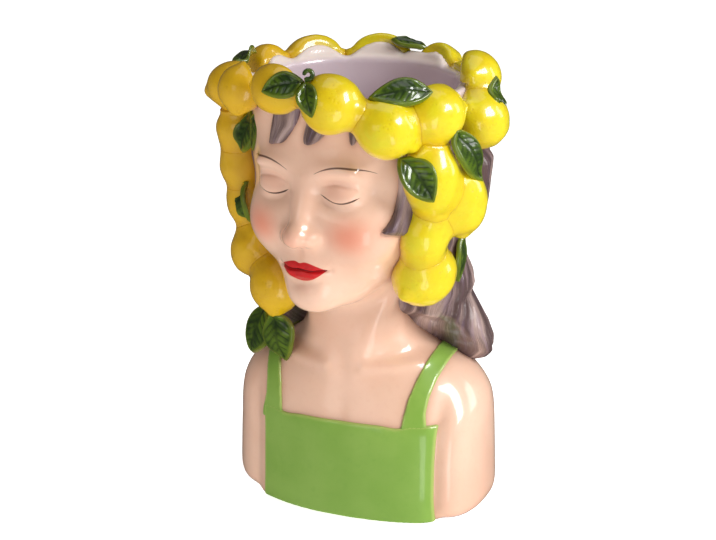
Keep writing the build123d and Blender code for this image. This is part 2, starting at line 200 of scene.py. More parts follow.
def turn(ax, deg):
    """3x3 whose columns are the ellipsoid's axes, for ball(rot=...)."""
    c, s = math.cos(math.radians(deg)), math.sin(math.radians(deg))
    if ax == "x":
        return np.array([[1, 0, 0], [0, c, -s], [0, s, c]])
    if ax == "y":
        return np.array([[c, 0, s], [0, 1, 0], [-s, 0, c]])
    return np.array([[c, -s, 0], [s, c, 0], [0, 0, 1]])


# A face drawn on the usual canon: eyes half way up the head, the face in equal
# thirds, five eye widths across, closed lids and lips at rest.
HEAD_TOP, CHIN = 316.0, 146.0
EYE_Z = 230.0
BROW_Z = 243.0
NOSE_Z = 194.0
MOUTH_Z = 177.5
EYE_X = 25.0
EYE_W = 24.0


def face_sdf(p, fine=True):
    """p in head axes."""
    m = np.stack([np.abs(p[:, 0]), p[:, 1], p[:, 2]], 1)   # the face is even side to side
    d = ball(p, (0, 11.5, 207), (56.5, 61.5, 61))
    d = smin(d, ball(p, (0, 41, 163), (25, 28, 17.5)), 16)
    d = smin(d, ball(p, (0, -4, 236), (67, 70, 60)), 18)
    d = smin(d, ball(m, (31, 46, 202), (19, 20, 19)), 18)                       # cheeks
    if not fine:
        return d
    # brow and sockets
    d = smin(d, ball(m, (20, 62.5, 244), (17, 8.5, 6.5), turn("z", 16)), 13)
    d = smax(d, -ball(m, (EYE_X + 0.5, 76.0, 231.5), (15.5, 11.5, 10.0), turn("z", 18)), 11)
    # lids over the eyes
    lid = ball(m, (EYE_X, 55.3, EYE_Z - 0.5), (14.2, 13.6, 12.4), turn("z", 10))
    d = smin(d, lid, 3.4)
    # lower rim of the closed lid: a fine fold along the lash line
    lash = EYE_Z - 5.6 + 0.026 * (m[:, 0] - EYE_X) ** 2
    near = step(np.abs(m[:, 0] - EYE_X), 13.5, 10.0) * step(m[:, 1], 45, 55)
    d = d - 0.55 * near * step(m[:, 2] - lash, -0.9, 0.5) * step(m[:, 2] - lash, 6.0, 1.0)
    fold = EYE_Z + 6.4 - 0.020 * (m[:, 0] - EYE_X) ** 2
    d = d + 0.55 * near * hump(m[:, 2], fold, 1.1)
    # nose
    nose = rod(p, (0, 66.5, 236), (0, 76.5, 203), 4.3, 6.0)
    nose = smin(nose, ball(p, (0, 79.5, 201.2), (7.6, 8.0, 7.0)), 6)
    nose = smin(nose, ball(m, (8.6, 73.5, 199.6), (4.9, 7.2, 5.2)), 4.5)
    d = smin(d, nose, 7.5)
    d = smax(d, -ball(m, (4.4, 80.5, 193.8), (2.6, 4.2, 2.2), turn("x", -18)), 1.6)     # nostrils
    # the groove over the lip
    d = d + 1.0 * hump(p[:, 0], 0, 2.6) * step(p[:, 2], 182.5, 185.5) * step(p[:, 2], 194.5, 190.5) * step(p[:, 1], 50, 62)
    # muzzle and lips
    d = smin(d, ball(p, (0, 55.5, 180), (20, 17.5, 14)), 12)
    ax = m[:, 0]
    up = rod(m, (0.0, 70.6, 179.8), (8.5, 69.2, 180.0), 3.5, 2.9)
    up = smin(up, rod(m, (8.5, 69.2, 180.0), (16.5, 62.5, 178.4), 2.9, 1.2), 2.2)
    up = up + 0.65 * hump(ax, 0, 2.4) * step(p[:, 2], 180.0, 182.6)
    low = rod(m, (0.0, 70.0, 174.6), (7.0, 69.0, 175.0), 4.2, 3.8)
    low = smin(low, rod(m, (7.0, 69.0, 175.0), (15.8, 63.0, 177.6), 3.6, 1.2), 2.6)
    d = smin(d, up, 2.6)
    d = smin(d, low, 2.8)
    seam = MOUTH_Z + 0.35 + 0.55 * hump(ax, 0, 3.0) - 0.5 * hump(ax, 7, 4) + 0.3 * step(ax, 10, 17)
    d = d + 1.5 * hump(p[:, 2], seam, 0.95) * step(ax, 18.8, 15.5) * step(p[:, 1], 50, 58)
    d = d + 0.8 * hump(ax, 18.6, 2.2) * hump(p[:, 2], 178.4, 2.4) * step(p[:, 1], 50, 56)
    # hollow under the lower lip, then the chin
    d = smax(d, -ball(p, (0, 79.5, 166.6), (13, 9.5, 4.4)), 7)
    d = smin(d, ball(p, (0, 58.5, 157.0), (13, 11.5, 9.5)), 12)
    return d


LIP_TOP = None      # filled in from the lemons, below


def lip_top(phi):
    return np.interp((phi + 360) % 360, LIP_TOP[0], LIP_TOP[1], period=360)


def head_sdf(p, fine=True):
    phi, r = polar(p)
    z = p[:, 2]
    d = face_sdf(head_local(p), fine)
    barrel = smax(r - CROWN(z)[0], 222 - z, 30)
    d = smin(d, barrel, 10)
    return d


def bore_sdf(p):
    q = head_local(p)
    phi, r = polar(p)
    z = p[:, 2]
    b = smax(r - BORE(z)[0], 214 - z, 20)
    c = smin(ball(q, (0, 9, 207), (50, 53, 54)), ball(q, (0, -5, 234), (61, 63, 54)), 12)
    b = smin(b, c, 8)
    t = rod(p, (0, -3, 70), (0, -8, 190), 27, 27)
    b = smin(b, t, 10)
    # a wall of nearly four millimetres is kept behind the face and the back of the head
    wall = skin_sdf(p, False) + 3.8 - 30 * step(z, 262, 272)
    return np.maximum(b, np.where(z < 272, wall, -50.0))


def skin_sdf(p, fine=True):
    """Everything in skin glaze, as one form, before it is hollowed."""
    d = smin(torso_sdf(p), neck_sdf(p), 17)
    d = smin(d, head_sdf(p, fine), 9)
    return d


def casting_sdf(p, fine=True):
    z = p[:, 2]
    d = skin_sdf(p, fine)
    q = np.stack(torso_local(p), 1)
    a, b, cy = TORSO(z)
    room = np.hypot(q[:, 0], q[:, 1] - cy) * (1 - 1 / (np.sqrt((q[:, 0] / (a - 7)) ** 2 + ((q[:, 1] - cy) / (b - 10)) ** 2) + 1e-9))
    room = smax(room, 9.0 - z, 3)
    room = smax(room, z - 112.0, 8)
    room = np.maximum(room, skin_sdf(p, False) + 5.8)
    hollow = smin(room, bore_sdf(p), 8)
    d = smax(d, -hollow, 2.0)
    phi, r = polar(p)
    d = smax(d, z - lip_top(phi), 3.2)
    # flat foot, softly rounded edge, rounder under the arms
    arm = step(np.abs(q[:, 0]), 60, 72)
    k = 3.0 + 9.0 * arm
    d = -smin(-d, z - 0.0, k)
    # recess inside the foot ring and the drain hole
    ring = np.sqrt((q[:, 0] / 79.0) ** 2 + (q[:, 1] / 47.0) ** 2)
    d = smax(d, -smax((ring - 1) * 60, z - 3.0, 1.5), 1.0)
    d = smax(d, -(np.hypot(p[:, 0], p[:, 1]) - 9.0), 0.8)
    return d


# ------------------------------------------------------------------ lemons
# name, bearing, height, distance out, half length, half width, lie of the long axis (along, up, out)
LEMONS = [
    ("crown_lemon_01_front", 12.3, 290.9, 79.0, 19.0, 19.5, (1, -.1, .2)),
    ("crown_lemon_02_front_left", 37.3, 275.5, 80.0, 20.8, 19.8, (.8, -.6, .1)),
    ("crown_lemon_03_left", 62.0, 281.0, 78.5, 20.5, 19.5, (1, .1, .2)),
    ("crown_lemon_04_left_low", 101.5, 266.5, 80.5, 22.0, 19.2, (.8, -.55, .3)),
    ("crown_lemon_05_left_high", 112.0, 291.0, 75.5, 18.5, 17.5, (1, -.3, .1)),
    ("crown_lemon_06_back_left", 137.0, 281.0, 76.0, 14.5, 13.5, (.9, .2, .2)),
    ("crown_lemon_07_back_left", 160.0, 286.5, 71.5, 18.5, 15.5, (.3, -.2, -1)),
    ("crown_lemon_08_back", -166.5, 286.0, 73.0, 21.5, 18.0, (1, 0, 0)),
    ("crown_lemon_09_back_right", -131.5, 286.0, 78.0, 21.0, 16.8, (-1, 0, 0)),
    ("crown_lemon_10_right", -104.6, 285.6, 78.2, 16.8, 15.1, (-.2, .35, 1)),
    ("crown_lemon_11_right_low", -74.0, 282.0, 84.5, 18.0, 15.5, (-.2, -.35, 1)),
    ("crown_lemon_12_right", -46.6, 288.5, 80.0, 15.8, 15.3, (-.2, .9, -.3)),
    ("crown_lemon_13_brow", -16.5, 296.2, 77.0, 18.5, 16.6, (-1, 0, .1)),
    ("under_lemon_1_back_left", 128.0, 255.5, 78.5, 17.5, 14.5, (1, -.3, .1)),
    ("under_lemon_2_back_left", 153.0, 257.5, 77.0, 17.0, 15.0, (.8, .5, .1)),
    ("under_lemon_3_back", 177.4, 256.5, 76.0, 18.0, 15.0, (1, -.2, .1)),
    ("under_lemon_4_back_right", -154.0, 255.0, 77.5, 17.0, 15.0, (.9, .4, .1)),
    ("under_lemon_5_back_right", -127.0, 254.0, 79.0, 18.5, 15.5, (1, -.4, .1)),
    ("left_fall_lemon_1", 60.9, 239.1, 78.0, 25.0, 19.0, (.1, -1, 0)),
    ("left_fall_lemon_2", 80.5, 221.0, 77.5, 25.5, 19.0, (.1, -1, .1)),
    ("left_fall_lemon_3", 62.3, 199.2, 68.0, 20.5, 17.0, (-.2, -1, 0)),
    ("left_fall_lemon_4", 69.9, 169.1, 60.0, 23.5, 21.0, (-.9, -.45, .1)),
    ("right_fall_lemon_1", -78.0, 251.0, 82.0, 17.0, 15.5, (-.3, -.9, .3)),
    ("right_fall_lemon_2", -80.0, 225.5, 81.0, 16.5, 15.5, (-.1, -1, .1)),
    ("right_fall_lemon_3", -82.0, 199.2, 77.9, 16.5, 15.0, (.1, -1, 0)),
    ("right_fall_lemon_4", -79.5, 166.0, 72.6, 20.0, 17.0, (-.5, -.8, .2)),
    ("right_fall_lemon_5", -62.0, 148.6, 55.5, 20.0, 18.0, (-.4, .9, -.1)),
    ("right_fall_lemon_6_behind", -103.0, 234.0, 79.0, 18.0, 15.5, (.2, -1, .1)),
    ("right_fall_lemon_7_behind", -103.5, 203.0, 76.0, 17.0, 15.0, (-.3, -.9, .1)),
]


class Lemon:
    def __init__(s, i, row):
        s.name, phi, z, r, a, b, ax = row
        s.i = i
        s.c = at(phi, z, r)
        f = math.radians(phi)
        et, er = np.array([math.cos(f), math.sin(f), 0]), np.array([math.sin(f), -math.cos(f), 0])
        u = et * ax[0] + np.array([0, 0, 1.0]) * ax[1] + er * ax[2]
        s.u = u / np.linalg.norm(u)
        h = np.cross(s.u, [0.31, 0.52, 0.79])
        s.h = h / np.linalg.norm(h)
        s.k = np.cross(s.u, s.h)
        s.R = np.stack([s.u, s.h, s.k], 1)
        s.a, s.b = max(a, b + 0.5), b
        # the fruit of the two falls is modelled more in one piece than that of the crown
        s.soft = 11.0 if "fall" in row[0] else 8.0

    def d(s, p):
        q = (p - s.c) @ s.R
        r = np.array([s.a, s.b, s.b])
        # a little fuller in the flank than an ellipsoid, drawn out at both ends
        body = ball(p, s.c, r, s.R)
        rr = np.hypot(q[:, 1], q[:, 2])
        tip = np.sqrt(((q[:, 0] - s.a * 0.97) / 3.1) ** 2 + (rr / 3.0) ** 2)
        tip = (tip - 1) * 3.0
        butt = (np.sqrt(((q[:, 0] + s.a * 0.97) / 2.6) ** 2 + (rr / 3.4) ** 2) - 1) * 2.6
        body = smin(smin(body, tip, 6.5), butt, 5.0)
        # hand-formed unevenness
        body = body + 0.42 * noise3(q, 11.0, s.i + 1) + 0.16 * noise3(q, 4.6, s.i + 40)
        return body


LEM = [Lemon(i, r) for i, r in enumerate(LEMONS)]
for L in LEM:
    L.near = [M for M in LEM if M is not L and np.linalg.norm(M.c - L.c) < L.a + M.a + 9]


def lemons_sdf(p, k=4.2, some=None):
    """All lemons as one cluster whose joints are filled by the glaze."""
    d = None
    for L in (some or LEM):
        e = L.d(p)
        d = e if d is None else smin(d, e, k)
    return d


# the white lip climbs behind each lemon of the crown
_phi = np.arange(0, 360, 2.0)
_z = np.arange(276.0, 318.0, 0.5)
_g = np.array([[at(f, z, 76.5) for z in _z] for f in _phi]).reshape(-1, 3)
_ring = [L for L in LEM if L.c[2] > 262]
_v = lemons_sdf(_g, 4.2, _ring).reshape(len(_phi), len(_z))
_top = np.array([_z[np.nonzero(v < 0)[0].max()] if (v < 0).any() else 288.0 for v in _v])
_ker = np.exp(-0.5 * (np.arange(-6, 7) * 2.0 / 4.0) ** 2)
_ker /= _ker.sum()
_top = np.convolve(np.concatenate([_top[-6:], _top, _top[:6]]), _ker, "valid")
# but stays low where two of them stand apart
_top = _top - 14.0 * step(_phi, 70, 78) * step(_phi, 104, 97)
LIP_TOP = (_phi, np.clip(_top - 4.6, 288.5 + 5.5 * step(_phi, 157, 166) * step(_phi, 185, 176), 303.0))


# two lemons lap over the lip, towards the well
OVER_LIP = {"crown_lemon_05_left_high": 66.8, "crown_lemon_06_back_left": 67.5, "crown_lemon_04_left_low": 69.0}


def lemon_field(L, p):
    """Signed value whose zero is this lemon's own visible skin."""
    own = L.d(p)
    rest = None
    allv = own
    for M in L.near:
        e = M.d(p)
        rest = e if rest is None else np.minimum(rest, e)
        allv = smin(allv, e, L.soft)
    if rest is not None:
        allv = allv + 0.9 * np.maximum(0, own - rest)
    phi, r = polar(p)
    z = p[:, 2]
    # above the lip a lemon stops short of the well; below it is pressed on the skin
    stop = OVER_LIP[L.name] if L.name in OVER_LIP else np.maximum(72.3, BORE(z)[0] + 2.6)
    cut = np.where(z > 281, stop - r - 14 * (1 - step(z, 281, 289)), -50.0)
    cut = np.maximum(cut, np.where(z < 291, -skin_sdf(p, False) - 2.8, -50.0))
    return smax(allv, cut, 4.5)


# ------------------------------------------------------------------ hair
def hair_radius(phi, z):
    """Outside of the hair that falls behind, as a distance from the head axis."""
    f = np.abs(phi)                                    # 0 in front, 180 behind
    base = np.interp(z, [84, 92, 100, 110, 122, 134, 143, 151, 158, 168, 182, 206, 236, 262],
                     [62, 66.0, 68.0, 69.0, 69.5, 69.0, 68.0, 69.5, 69.8, 69.0, 70.0, 74.0, 77.5, 77.0])
    side = np.interp(z, [84, 92, 97, 104, 112, 122, 134, 143, 151, 158, 168, 182],
                     [0, 9, 19.0, 22.5, 21.5, 17.0, 11.0, 7.3, 8.2, 6.4, 2.4, 0])
    w = step(f, 82, 112) * step(f, 168, 134)
    swell = 10.5 * step(z, 184, 206) * step(z, 252, 236) * step(phi, 88, 104) * step(phi, 150, 128)
    return base + side * w + swell


def hair_flow(phi, z):
    """A coordinate that is the same all along a lock, in degrees, so grooves follow the fall."""
    s = np.sign(phi)
    f = np.abs(phi)
    lean = 13 * step(z, 160, 100) * step(f, 176, 120) * step(f, 60, 90)
    wave = 3.2 * np.sin(z / 13.0 + f / 30.0) + 1.8 * np.sin(z / 6.7 + f / 11.0)
    u = np.where(s >= 0, f + lean, 360.0 - f - lean)
    return u + wave * step(z, 262, 200), s


def strands(u, z, seed):
    """Combed grooves: ridges across u with slow change along the lock."""
    g = np.stack([u * 1.0, z * 0.10 + seed * 9, np.full_like(u, seed * 3.7)], 1)
    a = noise3(g, 4.2, seed)
    b = noise3(g * np.array([1, 1.4, 1]), 1.9, seed + 5)
    c = noise3(g * np.array([1, .5, 1]), 9.0, seed + 9)
    return 0.45 * a + 0.25 * b + 0.55 * c


def hair_sdf(p):
    phi, r = polar(p)
    z = p[:, 2]
    R = hair_radius(phi, z)
    u, s = hair_flow(phi, z)
    u = u + 0.9 * s * (r - R) * step(z, 172, 138)         # the strands lie along the outer edge
    g = strands(u * 1.15, z, 3)
    d = (r - R) * 0.85 + 1.5 * g + 0.9 * np.sin(u * 0.42 + np.sin(z / 17.0))
    # front edge: behind the ear above, behind the shoulder below
    y = p[:, 1]
    edge = np.interp(z, [84, 100, 112, 126, 136, 150, 172, 205, 262], [18, 14, 8, -6, -16, -21, -26, -30, -34])
    edge = edge + 2.2 * noise3(np.stack([z, r * 0.6, z * 0], 1), 6.0, 33) * step(z, 160, 120)
    d = smax(d, (edge - y) * 0.9, 8.0)
    # ragged, curling ends; longest at the sides
    f = np.abs(phi)
    low = 94 + 5.0 * step(f, 150, 176) + 4.5 * np.sin(np.radians(f) * 9) * step(f, 96, 120) + 2.2 * noise3(np.stack([f, f * 0, f * 0], 1), 7.0, 21)
    low = low + 28 * step(f, 108, 86) + 9 * step(f, 122, 104)
    d = smax(d, low - z, 7.0)
    d = smax(d, z - 258, 6.0)
    # laid on the wall, never through it
    d = smax(d, -(skin_sdf(p, False) + 2.2), 0.8)
    return smax(d, 2.4 - bore_sdf(p), 0.5)


def in_poly(x, z, pts):
    """Signed distance to a closed outline in a plane, minus inside."""
    pts = np.array(pts, float)
    d2 = np.full(x.shape, 1e9)
    inside = np.zeros(x.shape, bool)
    n = len(pts)
    for i in range(n):
        ax, az = pts[i]
        bx, bz = pts[(i + 1) % n]
        ex, ez = bx - ax, bz - az
        t = np.clip(((x - ax) * ex + (z - az) * ez) / (ex * ex + ez * ez), 0, 1)
        d2 = np.minimum(d2, (x - ax - t * ex) ** 2 + (z - az - t * ez) ** 2)
        c = ((az <= z) & (bz > z)) | ((bz <= z) & (az > z))
        with np.errstate(divide="ignore", invalid="ignore"):
            hit = c & (x < ax + (z - az) / (ez if ez else 1e-9) * ex)
        inside ^= hit
    d = np.sqrt(d2)
    return np.where(inside, -d, d)


def spline_loop(pts, per=8):
    """Closed smooth outline through the points."""
    pts = np.array(pts, float)
    out = []
    n = len(pts)
    for i in range(n):
        a, b, c, d = pts[(i - 1) % n], pts[i], pts[(i + 1) % n], pts[(i + 2) % n]
        for k in range(per):
            t = k / per
            out.append(0.5 * ((2 * b) + (c - a) * t + (2 * a - 5 * b + 4 * c - d) * t * t + (3 * b - a - 3 * c + d) * t ** 3))
    return np.array(out)


def lock_sdf(p, bearing, loop, thick, flow_pts, seed):
    """A lock laid on the brow or cheek: outline in (sideways, height) seen from its bearing."""
    f = math.radians(bearing)
    s = p[:, 0] * math.cos(f) + p[:, 1] * math.sin(f)
    z = p[:, 2]
    fwd = p[:, 0] * math.sin(f) - p[:, 1] * math.cos(f)
    e = in_poly(s, z, loop)
    fp = np.array(flow_pts, float)
    centre = np.interp(z, fp[:, 0], fp[:, 1])
    wide = np.interp(z, fp[:, 0], fp[:, 2])
    u = (s - centre) / np.maximum(wide, 2.0)
    g = strands(u * 11.0 + 40, z, seed)
    h = head_sdf(p, False)
    crest = thick * (0.55 + 0.45 * step(-e, 0.0, 4.0))
    d = smax(h - crest + 0.75 * g, e, 1.6)
    d = smax(d, -h - 3.0, 0.5)
    return smax(d, 10 - fwd, 1.0)


FRINGE = [
    (-15, spline_loop([(-7, 292), (14, 292), (12.5, 279), (7.5, 270), (2, 262.8), (-2.2, 259.2), (-8, 257.6), (-13.5, 256.8), (-13.2, 263.5), (-10.5, 272), (-8, 280)]), 4.0,
     [(256, -10.5, 4.0), (262, -6, 6.0), (272, -0.5, 9.0), (290, 3.5, 10.5)], 5),
    (5, spline_loop([(-9.5, 290), (6, 290), (6.5, 279), (2, 268.5), (-5, 262.2), (-11.5, 261.0), (-12.5, 266), (-10, 276)]), 4.2,
     [(259, -9.5, 3.0), (265, -7, 5.5), (276, -2, 8.5), (290, -1, 9.0)], 6),
    (16, spline_loop([(2.0, 288), (12, 288), (10.6, 276), (7.6, 266.6), (5.0, 262.4), (3.0, 264.0), (2.4, 270), (1.6, 279)]), 3.4,
     [(261, 4.6, 2.0), (270, 5.6, 3.6), (288, 7, 6.0)], 7),
]
SIDE_LOCK = (45, spline_loop([(-7, 268), (12, 272), (25, 262), (26, 230), (24, 204), (14, 199.5), (0, 200.6), (-12, 203.6), (-18.0, 206.2),
                              (-14.5, 209.5), (-9.6, 215), (-6.6, 222.5), (-5.0, 233), (-6.0, 247)]), 5.0,
             [(196, 2, 17.0), (206, 3, 16.0), (214, 6, 14.5), (226, 9, 13.5), (240, 10, 14.5), (268, 10, 16.0)], 8)


# ------------------------------------------------------------------ dress
def dress_local(p):
    return torso_local(p)


def panel_outline(x, z):
    top = 66.6 + 0.6 * np.cos(x / 41.0 * 1.2) - 1.2 * step(np.abs(x), 25, 41) + 2.2 * step(np.abs(x), 39, 50)
    side = np.abs(x - DRESS_X) - (61.5 + 0.5 * step(z, 58, 70) + 0.8 * step(z, 20, 0))
    return smax(side, z - top, 0.8)


def strap_line(z, y):
    """Centre and half width of a strap at a height, in front and behind."""
    c = np.interp(z, [40, 66, 74, 84, 94, 104, 112, 120], [51.5, 51.0, 50.5, 51.5, 54.0, 57.5, 60.5, 62])
    w = np.interp(z, [40, 62, 68, 76, 90, 120], [9.5, 8.8, 7.6, 6.5, 6.0, 6.2])
    return c, w


def body_skin(p):
    f = lambda q: smin(torso_sdf(q), neck_sdf(q), 17)
    g = np.linalg.norm(gradient(f, p, 0.6), axis=1)
    return f(p) / np.clip(g, 0.5, 4.0)


def relief(p, outline, grow, k=1.1):
    t = body_skin(p)
    return smax(smax(t - grow, outline, k), -t - 2.5, 0.5)


def bodice_front_sdf(p):
    x, y, z = dress_local(p)
    d = relief(p, panel_outline(x, z), 1.5)
    d = smax(d, 0.7 - z, 1.6)
    return smax(d, y + 6, 0.5)


def bodice_back_sdf(p):
    x, y, z = dress_local(p)
    d = relief(p, panel_outline(x, z), 1.5)
    d = smax(d, 0.7 - z, 1.6)
    return smax(d, 6 - y, 0.5)


def strap_sdf(sign):
    def f(p):
        x, y, z = dress_local(p)
        c, w = strap_line(z, y)
        e = np.abs(sign * x - c) - w
        e = smax(e, 58 - z, 1.0)
        e = smax(e, -sign * x, 1.0)
        return relief(p, e, 1.45, 0.9)
    return f


# ------------------------------------------------------------------ meshing
def net(f, lo, hi, h):
    """Surface nets: closed quad mesh of f = 0 inside the box, in mm."""
    lo, hi = np.array(lo, float), np.array(hi, float)
    n = np.ceil((hi - lo) / h).astype(int) + 1
    g = [lo[i] + h * np.arange(n[i]) for i in range(3)]
    V = np.empty(n)
    for i in range(n[0]):          # one slice at a time keeps the memory small
        Y, Z = np.meshgrid(g[1], g[2], indexing="ij")
        P = np.stack([np.full(Y.size, g[0][i]), Y.ravel(), Z.ravel()], 1)
        V[i] = f(P).reshape(n[1], n[2])
    V[0], V[-1] = np.maximum(V[0], 1e-3), np.maximum(V[-1], 1e-3)
    V[:, 0], V[:, -1] = np.maximum(V[:, 0], 1e-3), np.maximum(V[:, -1], 1e-3)
    V[:, :, 0], V[:, :, -1] = np.maximum(V[:, :, 0], 1e-3), np.maximum(V[:, :, -1], 1e-3)
    S = V < 0
    cell = tuple(n - 1)
    acc = np.zeros(cell + (3,))
    cnt = np.zeros(cell)
    for ax in range(3):
        a = [slice(None)] * 3
        b = [slice(None)] * 3
        a[ax], b[ax] = slice(0, -1), slice(1, None)
        va, vb = V[tuple(a)], V[tuple(b)]
        cross = S[tuple(a)] != S[tuple(b)]
        t = np.where(cross, va / np.where(cross, va - vb, 1), 0)
        o = [i for i in range(3) if i != ax]
        for da in (0, 1):
            for db in (0, 1):
                sl = [slice(None)] * 3
                sl[o[0]] = slice(da, da + cell[o[0]])
                sl[o[1]] = slice(db, db + cell[o[1]])
                c, tt = cross[tuple(sl)], t[tuple(sl)]
                cnt += c
                off = np.zeros(3)
                off[o[0]], off[o[1]] = da, db
                for k in range(3):
                    acc[..., k] += np.where(c, tt if k == ax else off[k], 0)
    live = cnt > 0
    idx = -np.ones(cell, int)
    idx[live] = np.arange(live.sum())
    base = np.argwhere(live)
    verts = lo + h * (base + acc[live] / cnt[live][:, None])
    faces = []
    for ax in range(3):
        a = [slice(None)] * 3
        b = [slice(None)] * 3
        a[ax], b[ax] = slice(0, -1), slice(1, None)
        A, B = S[tuple(a)], S[tuple(b)]
        o = [i for i in range(3) if i != ax]
        core = [slice(None)] * 3
        core[o[0]], core[o[1]] = slice(1, -1), slice(1, -1)
        for flip, m in ((False, A & ~B), (True, ~A & B)):
            m = m[tuple(core)]
            q = np.argwhere(m)
            if not len(q):
                continue
            q[:, o[0]] += 1
            q[:, o[1]] += 1
            corners = []
            for da, db in ((-1, -1), (0, -1), (0, 0), (-1, 0)):
                w = q.copy()
                w[:, o[0]] += da
                w[:, o[1]] += db
                corners.append(idx[w[:, 0], w[:, 1], w[:, 2]])
            quad = np.stack(corners, 1)
            up = (ax != 1)
            if flip == up:
                quad = quad[:, ::-1]
            faces.append(quad)
    return verts, np.concatenate(faces)


def gradient(f, p, e=0.25):
    g = np.empty_like(p)
    for k in range(3):
        d = np.zeros(3)
        d[k] = e
        g[:, k] = (f(p + d) - f(p - d)) / (2 * e)
    return g


def pull(f, p, rounds=4, most=1.2, e=0.25):
    """Newton steps that bring points onto f = 0."""
    p = p.copy()
    for _ in range(rounds):
        g = gradient(f, p, e)
        n2 = (g * g).sum(1) + 1e-6
        s = -f(p)[:, None] * g / n2[:, None]
        l = np.linalg.norm(s, axis=1)
        s *= np.minimum(1, most / np.maximum(l, 1e-9))[:, None]
        p += s
    return p


def make(name, verts, faces, smooth=True):
    me = bpy.data.meshes.new(name)
    v = (np.asarray(verts, float) / 1000.0 + AXIS)
    faces = np.asarray(faces) if not isinstance(faces, list) else faces
    if isinstance(faces, np.ndarray):
        nf, w = faces.shape
        me.vertices.add(len(v))
        me.vertices.foreach_set("co", v.astype(np.float32).ravel())
        me.loops.add(nf * w)
        me.loops.foreach_set("vertex_index", faces.astype(np.int32).ravel())
        me.polygons.add(nf)
        me.polygons.foreach_set("loop_start", np.arange(0, nf * w, w, dtype=np.int32))
        me.update(calc_edges=True)
    else:
        me.from_pydata([tuple(c) for c in v], [], faces)
    me.validate()
    if smooth:
        me.polygons.foreach_set("use_smooth", [True] * len(me.polygons))
    me.update()
    ob = bpy.data.objects.new(name, me)
    bpy.context.scene.collection.objects.link(ob)
    return ob


def coords(ob):
    co = np.empty(len(ob.data.vertices) * 3, np.float32)
    ob.data.vertices.foreach_get("co", co)
    return (co.reshape(-1, 3).astype(float) - AXIS) * 1000.0


def set_coords(ob, p):
    ob.data.vertices.foreach_set("co", (p / 1000.0 + AXIS).astype(np.float32).ravel())
    ob.data.update()


def attribute(ob, name, values):
    a = ob.data.attributes.new(name, "FLOAT", "POINT")
    a.data.foreach_set("value", np.asarray(values, np.float32))


def attribute3(ob, name, values):
    a = ob.data.attributes.new(name, "FLOAT_VECTOR", "POINT")
    a.data.foreach_set("vector", np.asarray(values, np.float32).ravel())


def refine(ob, pick, f, rounds=3):
    """Split the faces that pick(points) selects and bring the new points onto f = 0."""
    bm = bmesh.new()
    bm.from_mesh(ob.data)
    bm.verts.ensure_lookup_table()
    p = coords(ob)
    sel = pick(p)
    edges = [e for e in bm.edges if sel[e.verts[0].index] and sel[e.verts[1].index]]
    n0 = len(bm.verts)
    bmesh.ops.subdivide_edges(bm, edges=edges, cuts=1, use_grid_fill=True)
    bm.to_mesh(ob.data)
    bm.free()
    ob.data.polygons.foreach_set("use_smooth", [True] * len(ob.data.polygons))
    p = coords(ob)
    new = pick(p)
    new[n0:] = True
    p[new] = pull(f, p[new], rounds)
    set_coords(ob, p)


def tidy(ob, weld=0.02):
    bm = bmesh.new()
    bm.from_mesh(ob.data)
    bmesh.ops.remove_doubles(bm, verts=bm.verts, dist=weld / 1000.0)
    bmesh.ops.recalc_face_normals(bm, faces=bm.faces)
    bm.to_mesh(ob.data)
    bm.free()
    ob.data.polygons.foreach_set("use_smooth", [True] * len(ob.data.polygons))


def relax(ob, rounds=1, amount=0.5, mask=None):
    """Laplacian smoothing along the mesh's edges."""
    me = ob.data
    e = np.empty(len(me.edges) * 2, np.int32)
    me.edges.foreach_get("vertices", e)
    e = e.reshape(-1, 2)
    p = coords(ob)
    for _ in range(rounds):
        s = np.zeros_like(p)
        c = np.zeros(len(p))
        np.add.at(s, e[:, 0], p[e[:, 1]])
        np.add.at(s, e[:, 1], p[e[:, 0]])
        np.add.at(c, e[:, 0], 1)
        np.add.at(c, e[:, 1], 1)
        q = p + amount * (s / np.maximum(c, 1)[:, None] - p)
        p = q if mask is None else np.where(mask[:, None], q, p)
    set_coords(ob, p)


PIECES = []


def place(ob, nodes, mat, body="planter"):
    ob.data.materials.clear()
    ob.data.materials.append(mat)
    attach(ob, body)
    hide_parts(*nodes)
    PIECES.append(ob)
    return ob


# ------------------------------------------------------------------ materials
class X:
    """A value in a node tree, with arithmetic."""
    def __init__(s, nt, sock):
        s.nt, s.s = nt, sock

    def _m(s, op, *o, clamp=False):
        n = s.nt.nodes.new("ShaderNodeMath")
        n.operation = op
        n.use_clamp = clamp
        for i, v in enumerate((s,) + o):
            if isinstance(v, X):
                s.nt.links.new(v.s, n.inputs[i])
            else:
                n.inputs[i].default_value = float(v)
        return X(s.nt, n.outputs[0])

    def __add__(s, o): return s._m("ADD", o)
    __radd__ = __add__
    def __sub__(s, o): return s._m("SUBTRACT", o)
    def __rsub__(s, o): return (s * -1) + o
    def __mul__(s, o): return s._m("MULTIPLY", o)
    __rmul__ = __mul__
    def __truediv__(s, o): return s._m("DIVIDE", o)
    def abs(s): return s._m("ABSOLUTE")
    def pow(s, o): return s._m("POWER", o)
    def min(s, o): return s._m("MINIMUM", o)
    def max(s, o): return s._m("MAXIMUM", o)
    def sin(s): return s._m("SINE")
    def sqrt(s): return s._m("SQRT")

    def ramp(s, a, b):
        """0 at a, 1 at b, smooth between; a may be above b."""
        n = s.nt.nodes.new("ShaderNodeMapRange")
        n.interpolation_type = "SMOOTHSTEP"
        n.inputs["From Min"].default_value, n.inputs["From Max"].default_value = (a, b) if a < b else (b, a)
        n.inputs["To Min"].default_value, n.inputs["To Max"].default_value = (0, 1) if a < b else (1, 0)
        s.nt.links.new(s.s, n.inputs["Value"])
        return X(s.nt, n.outputs["Result"])


